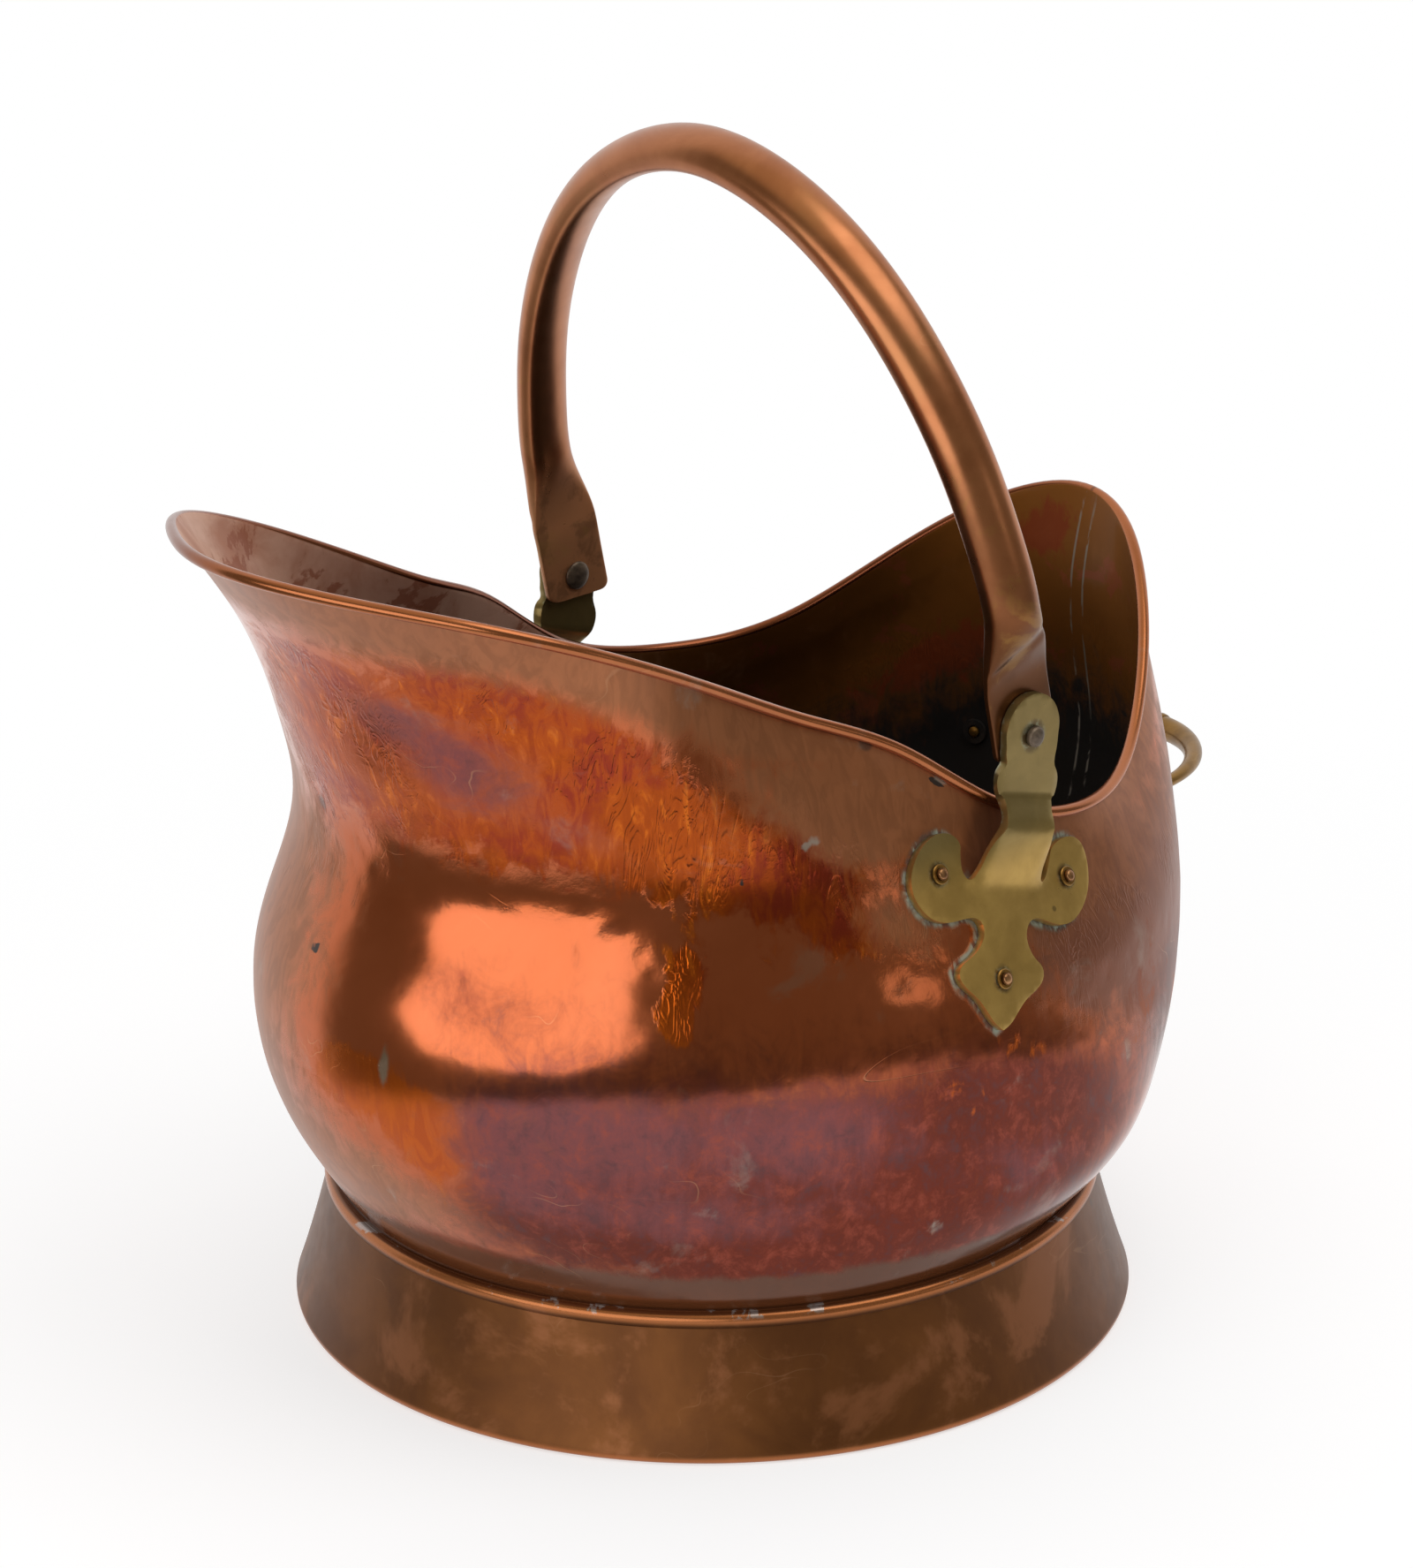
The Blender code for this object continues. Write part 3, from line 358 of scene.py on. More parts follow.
def foot_section():
    """Middle of the sheet as radius and height, with its outer side as a direction: most
    of a half circle for the bead, a flank that flares by a part of the cubed share, and
    most of a circle round the wire. The flank meets that circle as its tangent."""
    collar = ROUND_SHARES[0] * BELLY_RADIUS + SHEET + CLEARANCE
    bead = JOINT_HEIGHT - BEAD_DROP
    rows = [(collar, bead + BEAD_RADIUS + FOOT_COLLAR, 1.0, 0.0)]
    for angle in np.radians(np.linspace(*BEAD_ARC, 15)):
        lean = np.clip(angle, -0.6, 0.6)
        radius, height = collar + BEAD_RADIUS * np.cos(angle), bead + BEAD_RADIUS * np.sin(angle)
        rows.append((radius, height, np.cos(lean), np.sin(lean)))
    outside = FOOT_WIRE_RADIUS + CLEARANCE + SHEET
    centre = (FOOT_RADIUS - outside, outside)
    roll = outside - SHEET / 2
    top = (collar + SHOULDER, bead - BEAD_RADIUS)
    slope = math.atan2(centre[0] + roll - top[0], top[1] - centre[1])
    foot = (centre[0] + roll * math.cos(slope), centre[1] + roll * math.sin(slope))
    for share in np.linspace(0.0, 0.97, 18):
        radius = top[0] + (foot[0] - top[0]) * ((1 - FLARE) * share + FLARE * share**3)
        height = top[1] + (foot[1] - top[1]) * share
        rows.append((radius, height, math.cos(slope), math.sin(slope)))
    for angle in slope - FOOT_ROLL_TURN * np.linspace(0.0, 1.0, 29):
        wide, high = np.cos(angle), np.sin(angle)
        rows.append((centre[0] + roll * wide, centre[1] + roll * high, wide, high))
    return np.array(rows)


section = foot_section()
radial = from_axis(full_turn(FOOT_TURNS))
foot_middle = section[:, None, :1] * radial + section[:, None, 1:2] * upward
foot_side = section[:, None, 2:3] * radial + section[:, None, 3:] * upward
foot = sheet_piece("flared_foot", foot_middle, foot_side)
print("foot:", len(foot.data.vertices), "points")

# %% [markdown]
# ## The bail
# The bail is copper tube, rounder outside than inside, bent to an arch and hammered flat
# at both ends. A section is a squashed circle whose power says how square it is. Along
# the arch the size, the power and a slight twist all change, and the ends are cut round.

# %% The bail's surface
PIVOT_TURN = math.radians(108.76)
PIVOT_ABOVE_RIM = 0.0247
PIVOT_OUT = 0.0023
rim_there = wall(PIVOT_TURN, 1.0)
PIVOT_BACK = float(rim_there[1])
PIVOT_HEIGHT = float(rim_there[2]) + PIVOT_ABOVE_RIM
BAIL_HALF_WIDTH = float(rim_there[0]) + PIVOT_OUT
BAIL_RISE = 0.1640
BAIL_LEAN = math.radians(11.3)
BAIL_WIDTH_SHARES = (1.0, 1.0, 1.0, 1.015, 1.032, 1.007, 0.944, 0.813, 0.599, 0.312, 0.0)
BAIL_RISE_SHARES = (0.0, 0.050, 0.100, 0.160, 0.240, 0.359, 0.500, 0.672, 0.840, 0.957, 1.0)
TUBE_WIDTH, TUBE_OUTER, TUBE_INNER = 0.0174, 0.00628, 0.0061
STRAP_WIDTH, STRAP_THICKNESS, STRAP_CORNER = 0.0242, 0.0024, 0.003
STRAP_BELOW, STRAP_TOP, CRIMP_TOP = 0.0074, 0.017, 0.042
TUBE_TWIST = math.radians(8)
STRAP_SKEW = math.radians(10)
FOLD_RISE, FOLD_DEPTH, FOLD_HALF_WIDTH = 0.028, 0.0007, 0.0022
BAIL_SIDES = 48


def bail_line():
    """Half widths and rises along the arch, from the +X end over the top to the other."""
    across = BAIL_HALF_WIDTH * np.array((1.0, *BAIL_WIDTH_SHARES))
    rise = np.array((-STRAP_BELOW, *(BAIL_RISE * share for share in BAIL_RISE_SHARES)))
    half = np.stack([across, rise], -1)
    return np.concatenate([half, half[-2::-1] * np.array([-1.0, 1.0])])


def bail_rows(length):
    """Distances along the arch, close together at the round corners and the crimps."""
    corner = STRAP_CORNER * (1 - np.cos(np.linspace(0.02, np.pi / 2, 9)))
    strap = np.linspace(STRAP_CORNER, STRAP_BELOW + STRAP_TOP, 12)[1:]
    crimp = np.linspace(STRAP_BELOW + STRAP_TOP, STRAP_BELOW + CRIMP_TOP, 26)[1:]
    arch = np.linspace(STRAP_BELOW + CRIMP_TOP, length / 2, 70)[1:]
    half = np.concatenate([corner, strap, crimp, arch])
    return np.concatenate([half, length - half[-2::-1]])


def bail_loops():
    """Each section's outward depth is sine to a power times the tube's depth, and its
    width is cosine to a power times half the tube's width, both easing to the flat strap."""
    places = bail_line()
    knots = travelled(places)
    length = knots[-1]
    at = bail_rows(length)
    nudge = length / 2000
    steps = [np.clip(at + move, 0.0, length) for move in (-nudge, 0.0, nudge)]
    across = [smooth_line(knots, places[:, 0], step) for step in steps]
    rise = [smooth_line(knots, places[:, 1], step) for step in steps]
    ahead = unit(np.stack([across[2] - across[0], rise[2] - rise[0]], -1))
    near_end = np.minimum(at, length - at)
    crimp = ease((rise[1] - STRAP_TOP) / (CRIMP_TOP - STRAP_TOP))[:, None]
    short = 1 - np.minimum(near_end / STRAP_CORNER, 1.0)
    corner = (STRAP_CORNER * (1 - np.sqrt(1 - short**2)))[:, None]
    angles = (np.arange(BAIL_SIDES) + 0.5) * 2 * np.pi / BAIL_SIDES
    sine, cosine = np.sin(angles), np.cos(angles)
    width = (STRAP_WIDTH + (TUBE_WIDTH - STRAP_WIDTH) * crimp) / 2 - corner
    flat = STRAP_THICKNESS / 2
    deep = flat + (np.where(sine > 0, TUBE_OUTER, TUBE_INNER) - flat) * crimp
    round_power = 0.25 + 0.75 * crimp
    power = np.where(sine > 0, round_power, 0.25 + 0.37 * crimp)
    depth = deep * np.sign(sine) * np.abs(sine) ** power
    side = width * np.sign(cosine) * np.abs(cosine) ** round_power
    slant = (rise[1][:, None] - FOLD_RISE - 0.5 * side) / FOLD_HALF_WIDTH
    fold = FOLD_DEPTH * np.exp(-(slant**2)) * (sine > 0)
    depth = depth - fold * ease(crimp * 4) * ease((1 - crimp) * 4)
    twist = TUBE_TWIST * crimp
    skew = math.tan(STRAP_SKEW) * (1 - ease(near_end / (STRAP_BELOW + STRAP_TOP)))[:, None]
    turned = depth * np.cos(twist) + side * np.sin(twist)
    back = side * np.cos(twist) - depth * np.sin(twist)
    wide = across[1][:, None] + turned * ahead[:, 1:]
    high = rise[1][:, None] - turned * ahead[:, :1] - side * skew
    sine, cosine = math.sin(BAIL_LEAN), math.cos(BAIL_LEAN)
    backward = PIVOT_BACK + back * cosine - high * sine
    upright = PIVOT_HEIGHT + high * cosine + back * sine
    return np.stack([wide, backward, upright], -1), np.broadcast_to(rise[1][:, None], wide.shape)


loops, bail_rise = bail_loops()
bail = bar_piece("copper_bail", loops, 50)
give_value(bail, "rise", bail_rise)
print("bail:", len(bail.data.vertices), "points, top at", round(float(loops[..., 2].max()), 4))

# %% [markdown]
# ## The ears
# Each ear was fretted from thick brass plate and bent over the rim. A flat outline is
# filled and cut into narrow strips, and each point is then moved on to the guide: the
# upright tab's plane above, the belly below, with a rounded step over the rolled rim.

# %% Where an ear lies
EAR_DROP = 0.0786
EAR_THICKNESS = 0.0028
EAR_TILT = math.radians(15.5)
EAR_TILT_SHARE = 0.15
EAR_BLEND = 0.002
EAR_STEP = 0.005
EAR_STEP_TOP = 0.018
EAR_STEP_LENGTH = 0.009
EAR_LOBE_SHARES = (0.13, 0.24)
EAR_SWAY_DOWN_SHARES = (0.0, 0.229, 0.280, 0.382, 0.534, 0.687, 0.827, 1.0)
EAR_SWAY_SHARES = (0.0, 0.029, 0.042, 0.105, 0.191, 0.265, 0.337, 0.391)
EAR_ACROSS_SHARES = (
    0.132, 0.130, 0.127, 0.141, 0.148, 0.141, 0.126, 0.121, 0.127, 0.137, 0.146, 0.155, 0.187,
    0.216, 0.226, 0.244, 0.286, 0.333, 0.389, 0.433, 0.457, 0.462, 0.444, 0.408, 0.358, 0.299,
    0.243, 0.193, 0.142, 0.116, 0.108, 0.125, 0.170, 0.210, 0.214, 0.192, 0.130, 0.079, 0.038,
)
EAR_DOWN_SHARES = (
    0.022, 0.067, 0.106, 0.137, 0.178, 0.223, 0.267, 0.299, 0.331, 0.375, 0.433, 0.483, 0.522,
    0.499, 0.461, 0.420, 0.392, 0.384, 0.396, 0.431, 0.477, 0.531, 0.580, 0.622, 0.653, 0.664,
    0.658, 0.648, 0.649, 0.667, 0.697, 0.733, 0.771, 0.802, 0.822, 0.854, 0.893, 0.938, 0.978,
)
EAR_LEVELS, EAR_COLUMNS = (-0.0115, 0.077, 0.002), (-0.035, 0.036, 0.0025)
EAR_CREASES = ((0.0265, 0.00035, 0.0009), (0.0235, -0.0003, 0.0011))
EAR_EDGE = 0.00045
EAR_ROUND_SHARE = 0.134
EAR_ROUND_RISE_SHARE = 0.028
EDGE_STEPS = 150


def wall_half_width(back, height):
    """How far out the bowl is at a depth and height: halving the range of turns forty
    times closes in on the turn that has that depth."""
    low = np.full(len(back), np.pi / 4)
    high = np.full(len(back), np.pi * 5 / 6)
    for _ in range(40):
        turn = (low + high) / 2
        rise = np.clip((height - JOINT_HEIGHT) / (rim_height(turn) - JOINT_HEIGHT), 0.0, 1.0)
        point = wall(turn, rise)
        before = point[:, 1] < back
        low = np.where(before, turn, low)
        high = np.where(before, high, turn)
    return point[:, 0] + SHEET / 2


def ear_guide(across, down):
    """The greater of the wall's half width and the tab's plane, with a rounded corner of a
    squared distance over four blends where they meet."""
    share = np.maximum(down, 0.0) / EAR_DROP
    sway = EAR_DROP * smooth_line(EAR_SWAY_DOWN_SHARES, EAR_SWAY_SHARES, share)
    tilt = EAR_TILT * ease(down / EAR_DROP / EAR_TILT_SHARE)
    back = PIVOT_BACK - sway + across * np.cos(tilt)
    height = PIVOT_HEIGHT - down - across * np.sin(tilt)
    wide = wall_half_width(back, height)
    step = EAR_STEP * ease((down - EAR_STEP_TOP) / EAR_STEP_LENGTH)
    tab = BAIL_HALF_WIDTH + STRAP_THICKNESS / 2 + step
    lobe_from, lobe_to = EAR_LOBE_SHARES
    lobe = ease((np.abs(across) / EAR_DROP - lobe_from) / (lobe_to - lobe_from))
    tab = np.maximum(tab - wide, 0.0) * (1 - lobe) + np.minimum(tab, wide)
    near = np.maximum(EAR_BLEND - np.abs(wide - tab), 0.0) * (1 - lobe)
    return np.stack([np.maximum(wide, tab) + near**2 / (4 * EAR_BLEND), back, height], -1)


def ear_frame(across, down):
    """The guide and its outward direction, from two small steps along it."""
    nudge = BELLY_RADIUS / 1000
    over = ear_guide(across + nudge, down) - ear_guide(across - nudge, down)
    under = ear_guide(across, down + nudge) - ear_guide(across, down - nudge)
    outward = unit(np.cross(under, over))
    return ear_guide(across, down), outward * np.sign(outward[:, :1])


# %% The ears' outline and surface
def ear_outline():
    """A half circle over the pivot, then the measured half outline, made finer by a smooth
    line through its points by distance, and mirrored."""
    angles = np.linspace(0.0, np.pi / 2, 7)
    crown = np.stack([np.sin(angles), -np.cos(angles)], -1) * EAR_ROUND_SHARE
    crown[:, 1] -= EAR_ROUND_RISE_SHARE
    half = np.array([*crown, *zip(EAR_ACROSS_SHARES, EAR_DOWN_SHARES), (0.0, 1.0)])
    knots = travelled(half)
    at = np.linspace(0.0, knots[-1], EDGE_STEPS)
    fine = np.stack([smooth_line(knots, half[:, 0], at), smooth_line(knots, half[:, 1], at)], -1)
    fine[0, 0] = fine[-1, 0] = 0.0
    return EAR_DROP * np.concatenate([fine, fine[-2:0:-1] * np.array([-1.0, 1.0])])


def ear_sheet():
    """Fills the outline and cuts it by level and upright lines, so that it can be bent."""
    work = bmesh.new()
    outline = np.pad(ear_outline(), ((0, 0), (0, 1)))
    work.faces.new([work.verts.new(corner) for corner in outline.tolist()])
    cuts = [((0.0, place, 0.0), (0.0, 1.0, 0.0)) for place in np.arange(*EAR_LEVELS)]
    cuts += [((place, 0.0, 0.0), (1.0, 0.0, 0.0)) for place in np.arange(*EAR_COLUMNS)]
    for place, facing in cuts:
        whole = work.verts[:] + work.edges[:] + work.faces[:]
        bmesh.ops.bisect_plane(work, geom=whole, plane_co=place, plane_no=facing)
    bmesh.ops.triangulate(work, faces=work.faces[:])
    work.verts.index_update()
    points = np.array([corner.co[:2] for corner in work.verts])
    faces = np.array([[corner.index for corner in face.verts] for face in work.faces])
    border = np.array([[c.index for c in edge.verts] for edge in work.edges if edge.is_boundary])
    work.free()
    return points, faces, border


def ear_piece(name, side):
    """The bent sheet, its copy one thickness further out, and a band that joins them. Each
    crease is a height times the exponential of minus the squared distance in its width."""
    flat, faces, border = ear_sheet()
    point, outward = ear_frame(flat[:, 0], flat[:, 1])
    ridge = sum(high * np.exp(-(((flat[:, 1] - at) / wide) ** 2)) for at, high, wide in EAR_CREASES)
    back = point + outward * CLEARANCE
    front = point + outward * (CLEARANCE + EAR_THICKNESS + ridge[:, None])
    count = len(flat)
    band = np.concatenate([border, border[:, ::-1] + count], 1)
    sheets = faces[:, ::-1].tolist() + (faces + count).tolist()
    ear = mesh_piece(name, np.concatenate([back, front]) * mirrored(side), sheets + band.tolist())
    turn_outward(ear.data)
    soften = ear.modifiers.new("Filed edges", "BEVEL")
    soften.width = EAR_EDGE
    soften.segments = 3
    soften.limit_method = "ANGLE"
    soften.angle_limit = math.radians(50)
    soften.material = 1
    ear.data.shade_smooth()
    return ear


def turn_outward(mesh):
    """Turns all faces of a closed mesh outwards."""
    work = bmesh.new()
    work.from_mesh(mesh)
    bmesh.ops.recalc_face_normals(work, faces=work.faces)
    work.to_mesh(mesh)
    work.free()


ears = {word: ear_piece(word + "_brass_ear", side) for side, word in ((1, "left"), (-1, "right"))}
print("ear:", len(ears["left"].data.vertices), "points before its edges are softened")

# %% [markdown]
# ## Rivets, washers and pins
# All of these are turned shapes: a profile of distance along an axis and radius. The
# rivets follow the belly, so their axis is the wall's own direction there, and a hammered
# end is a low dome, which a quarter circle gives.


# %% Turned fittings
def dome(start, height, radius, steps=7):
    """A quarter of an oval from the full radius at the start to the tip."""
    angles = np.linspace(0.0, np.pi / 2 * 0.97, steps)
    return [(start + height * math.sin(a), radius * math.cos(a)) for a in angles]


def rivet_frame(across, down, side):
    """A place on the wall's outer face, its direction, and the gap from it to the ear."""
    nudge = BELLY_RADIUS / 1000
    guide = ear_guide(np.array([across]), np.array([down]))[0]
    back = guide[1] + nudge * np.array([0.0, 1.0, -1.0, 0.0, 0.0])
    height = guide[2] + nudge * np.array([0.0, 0.0, 0.0, 1.0, -1.0])
    wide = wall_half_width(back, height)
    outward = unit([nudge * 2, wide[2] - wide[1], wide[4] - wide[3]])
    place = np.array([wide[0], guide[1], guide[2]])
    return place * mirrored(side), outward * mirrored(side), (guide[0] - wide[0]) * outward[0]


# %% Rivets, washers and pins in their places
EAR_RIVETS = ((-0.336, 0.514), (0.336, 0.514), (0.0, 0.831))
SHANK_RADIUS, INNER_HEAD, INNER_HEAD_RADIUS = 0.0015, 0.001, 0.0036
PEEN = ((0.0, 0.00185), (0.0005, 0.0019))
PEEN_TIP, PEEN_TIP_RADIUS = 0.0006, 0.0016
WASHER_THICKNESS = 0.0007
WASHER = ((0.0, 0.0018), (0.0, 0.0029), (0.00045, 0.0030))
WASHER += ((WASHER_THICKNESS, 0.0027), (0.0006, 0.0018))
PIN_RADIUS, PIN_HEAD_RADIUS, PIN_HEAD_START, PIN_HEAD = 0.0025, 0.0046, 0.0002, 0.0012
PIN_PEEN = ((0.0, 0.0030), (0.0004, 0.0032), (0.0012, 0.0031))
PIN_TIP_START, PIN_TIP, PIN_TIP_RADIUS = 0.0014, 0.0008, 0.0028


def moved(profile, start):
    """A profile with its distances counted from the start."""
    return [(start + along, radius) for along, radius in profile]


def inward(start, profile):
    """A dome turned round, so that it leads from its tip to the start."""
    return [(start - along, radius) for along, radius in profile[::-1]]


fittings = []
for side, word in ((1, "left"), (-1, "right")):
    for where, (across, down) in zip(("front", "back", "low"), EAR_RIVETS):
        place, axis, gap = rivet_frame(across * EAR_DROP, down * EAR_DROP, side)
        head = -SHEET - 2 * CLEARANCE
        burr = gap + 2 * CLEARANCE + EAR_THICKNESS
        end = burr + WASHER_THICKNESS + CLEARANCE
        rivet = inward(head, dome(0.0, INNER_HEAD, INNER_HEAD_RADIUS))
        rivet += [(head, SHANK_RADIUS), (end, SHANK_RADIUS), *moved(PEEN, end)]
        rivet += dome(end + PEEN[-1][0], PEEN_TIP, PEEN_TIP_RADIUS)
        name = f"{word}_ear_{where}"
        shank = bar_piece(name + "_peened_rivet", turned_loops(place, axis, rivet, 32))
        washer = washer_piece(name + "_washer", place, axis, moved(WASHER, burr))
        fittings += [(shank, name + "_rivet", "copper"), (washer, name + "_burr", "brass")]
    head = BAIL_HALF_WIDTH - STRAP_THICKNESS / 2 - CLEARANCE
    end = BAIL_HALF_WIDTH + STRAP_THICKNESS / 2 + 2 * CLEARANCE + EAR_THICKNESS
    pin = inward(head, dome(PIN_HEAD_START, PIN_HEAD, PIN_HEAD_RADIUS))
    pin += [(head, PIN_HEAD_RADIUS), (head, PIN_RADIUS), (end, PIN_RADIUS), *moved(PIN_PEEN, end)]
    pin += dome(end + PIN_TIP_START, PIN_TIP, PIN_TIP_RADIUS)
    pivot = turned_loops((0.0, PIVOT_BACK, PIVOT_HEIGHT), (side, 0, 0), pin, 40)
    pivot = bar_piece(word + "_iron_pin", pivot)
    fittings.append((pivot, word + "_pivot_pin", "iron"))
print(len(fittings), "fittings")

# %% [markdown]
# ## The rear grip
# The grip is one cast bar: a flange and a riveted tenon at each foot, and a bow that is
# thickest in the middle, where a small knop sits. It is swept like the bail, with a round
# section whose radius follows the place along the bow.

# %% The grip's surface
GRIP_HEIGHT, GRIP_HALF_WIDTH, GRIP_REACH = 0.133, 0.038, 0.2015
GRIP_THIN, GRIP_THICK, GRIP_ROOT, ROOT_FADE = 0.0018, 0.0039, 0.0006, 9
KNOP_RADIUS, KNOP_HALF, GRIP_SIDES = 0.0045, 0.0020, 28
TENON = ((-0.0029, 0.0010), (-0.0024, 0.0017))
FLANGE_THICKNESS = 0.0016
FLANGE = ((0.0, 0.0019), (0.0, 0.0043), (0.0005, 0.0045), (0.0012, 0.0044))
FLANGE += ((FLANGE_THICKNESS, 0.0038), (0.0017, 0.0026))
GRIP_WASHER = ((-0.0020, 0.0022), (-0.0020, 0.0040), (-0.0016, 0.0042))
GRIP_WASHER += ((-0.00108, 0.0042), (-0.00108, 0.0022))


def grip_foot():
    """The place on the wall, at the grip's height, that has the grip's half width."""
    low, high = np.pi * 3 / 4, np.pi
    for _ in range(40):
        turn = (low + high) / 2
        rise = (GRIP_HEIGHT - JOINT_HEIGHT) / (rim_height(turn) - JOINT_HEIGHT)
        wide = wall(turn, rise)[0] > GRIP_HALF_WIDTH
        low, high = (turn, high) if wide else (low, turn)
    point, outward, _ = wall_frame(np.array([turn]), np.array([rise]))
    return point[0], outward[0]


def grip_piece():
    """Places on a quarter oval, each with its direction and radius, then mirrored. The
    radius goes from thin to thick by the squared sine, and a little more at the root."""
    foot, out = grip_foot()
    flange = SHEET / 2 + CLEARANCE
    rows = [(foot + out * along, out, radius) for along, radius in (*TENON, *moved(FLANGE, flange))]
    start = foot + out * (flange + FLANGE_THICKNESS)
    reach = GRIP_REACH - GRIP_THICK - start[1]
    for angle in np.linspace(0.06, 0.97, 40) * np.pi / 2:
        place = np.array([start[0] * np.cos(angle), start[1] + reach * np.sin(angle), GRIP_HEIGHT])
        ahead = unit([-start[0] * np.sin(angle), reach * np.cos(angle), 0.0])
        radius = GRIP_THIN + (GRIP_THICK - GRIP_THIN) * np.sin(angle) ** 2
        rows.append((place, ahead, radius + GRIP_ROOT * np.exp(-angle * ROOT_FADE)))
    middle = np.array([0.0, start[1] + reach, GRIP_HEIGHT])
    for offset in np.linspace(KNOP_HALF, 0.0, 7):
        round_share = math.sqrt(1 - (offset / KNOP_HALF) ** 2 * 0.98)
        radius = GRIP_THICK + (KNOP_RADIUS - GRIP_THICK) * round_share
        rows.append((middle + np.array([offset, 0, 0]), np.array([-1.0, 0, 0]), radius))
    angles = full_turn(GRIP_SIDES)
    loops = []
    for place, ahead, radius in rows:
        side = unit(np.cross(ahead, upward))
        circle = np.outer(np.cos(angles), side) + np.outer(np.sin(angles), np.cross(side, ahead))
        loops.append(place + radius * circle)
    loops = np.array(loops)
    other_half = loops[:-1][::-1] * mirrored(-1)
    return bar_piece("brass_grip", np.concatenate([loops, other_half])), foot, out


grip, grip_place, grip_out = grip_piece()
for side, word in ((1, "left"), (-1, "right")):
    place, axis = grip_place * mirrored(side), grip_out * mirrored(side)
    washer = washer_piece(word + "_grip_washer", place, axis, GRIP_WASHER)
    fittings.append((washer, word + "_grip_burr", "brass"))
print("grip:", len(grip.data.vertices), "points")

# %% [markdown]
# ## What stands for what, and what moves
# The bail with its two hammered ends swings on the pins. Everything else is one rigid
# body. Each smooth piece hides the plain solid that it stands for, and stays in its box.

# %% Bodies, with a slot word listed beside each piece
shown = [(bowl, "body_shell", "copper"), (foot, "foot_ring", "copper"), (bail, "bail", "copper")]
shown += [(grip, "rear_grip", "brass"), (ears["left"], "left_ear", "brass")]
shown += [(ears["right"], "right_ear", "brass"), *fittings]
for piece, node, slot in shown:
    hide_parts(node)
    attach(piece, "bail" if node == "bail" else "scuttle")
print(len(shown), "pieces stand for solids")

# %% [markdown]
# # Finishes
# Old copper isn't one colour. Heat, soot, polish and damp leave zones that shade into one
# another: orange flames and plum stains where it got hot, brown satin where hands and air
# dulled it, a mirror where it bulges and was rubbed most. Where each zone lies is worked
# out here as one number per point, and the material then frays its edges with noise.

# %% Zones on the bowl
# Each patch is its turn in degrees, its rise, its half width in degrees, its half height
# in rise, and its strength.
ORANGE = (
    (10, 0.73, 20, 0.12, 1.0), (38, 0.77, 20, 0.12, 1.0), (62, 0.76, 13, 0.075, 1.0),
    (-3, 0.83, 9, 0.07, 0.7), (24, 0.88, 11, 0.045, 0.6), (-10, 0.66, 6, 0.10, 0.45),
    (4, 0.30, 9, 0.045, 1.0), (15, 0.24, 6, 0.07, 1.1), (45.5, 0.555, 2.2, 0.040, 1.3),
    (44, 0.49, 2.4, 0.035, 1.3), (83, 0.37, 6, 0.05, 0.35), (97, 0.47, 7, 0.04, 0.5),
    (70, 0.66, 7, 0.05, 0.7), (-75, 0.74, 22, 0.10, 0.9), (-125, 0.70, 18, 0.11, 0.8),
    (-55, 0.30, 14, 0.06, 0.7), (172, 0.45, 14, 0.07, 0.6), (-150, 0.30, 9, 0.07, 0.6),
    (-176, 0.92, 5, 0.06, 0.8), (-163, 0.72, 12, 0.07, 0.8), (124, 0.50, 9, 0.18, 0.45),
    (141, 0.40, 5, 0.08, 0.6),
)
PLUM = (
    (19, 0.75, 10, 0.07, 1.0), (10, 0.81, 8, 0.04, 0.7), (34, 0.30, 15, 0.09, 1.0),
    (62, 0.33, 16, 0.10, 1.0), (45, 0.17, 20, 0.05, 0.8), (96, 0.22, 13, 0.09, 0.6),
    (34, 0.70, 9, 0.03, 0.4), (23, 0.24, 8, 0.08, 0.8), (-66, 0.72, 12, 0.06, 0.8),
    (-100, 0.28, 20, 0.07, 0.8), (150, 0.28, 16, 0.08, 0.5),
)
MAROON = (
    (56, 0.22, 34, 0.22, 1.2), (98, 0.30, 22, 0.20, 1.2), (84, 0.10, 26, 0.08, 0.8),
    (138, 0.42, 16, 0.22, 1.0), (28, 0.14, 14, 0.08, 0.6), (-95, 0.22, 40, 0.14, 0.9),
    (-160, 0.40, 22, 0.16, 0.6), (0, 0.78, 10, 0.08, 0.6), (24, 0.66, 10, 0.05, 0.4),
    (18, 0.45, 8, 0.05, 0.36),
)
SATIN = (
    (-26, 0.42, 19, 0.28, 1.3), (-4, 0.13, 20, 0.08, 1.0), (118, 0.72, 22, 0.22, 1.1),
    (150, 0.55, 26, 0.35, 1.0), (88, 0.90, 36, 0.10, 1.2), (75, 0.85, 12, 0.06, 0.9),
    (-35, 0.85, 14, 0.12, 0.6), (-105, 0.52, 26, 0.10, 0.6), (-170, 0.75, 30, 0.20, 0.9),
    (78, 0.68, 9, 0.06, 0.7),
)
# Painted shade: these patches darken the brown satin round turns 110 to 140 and by the rim at minus
# 110.
PAINTED_SHADE = ((138, 0.55, 26, 0.40, 1.0), (110, 0.62, 14, 0.14, 0.7), (-110, 0.95, 30, 0.10, 0.5))
# Faded patina inside, also painted lighter where the inside faces up under the lip.
FADED_AND_LIT = (
    (-45, 0.95, 56, 0.22, 1.2), (-82, 0.84, 26, 0.16, 1.6), (30, 1.0, 60, 0.05, 0.5),
    (-80, 0.80, 20, 0.12, 0.6),
)
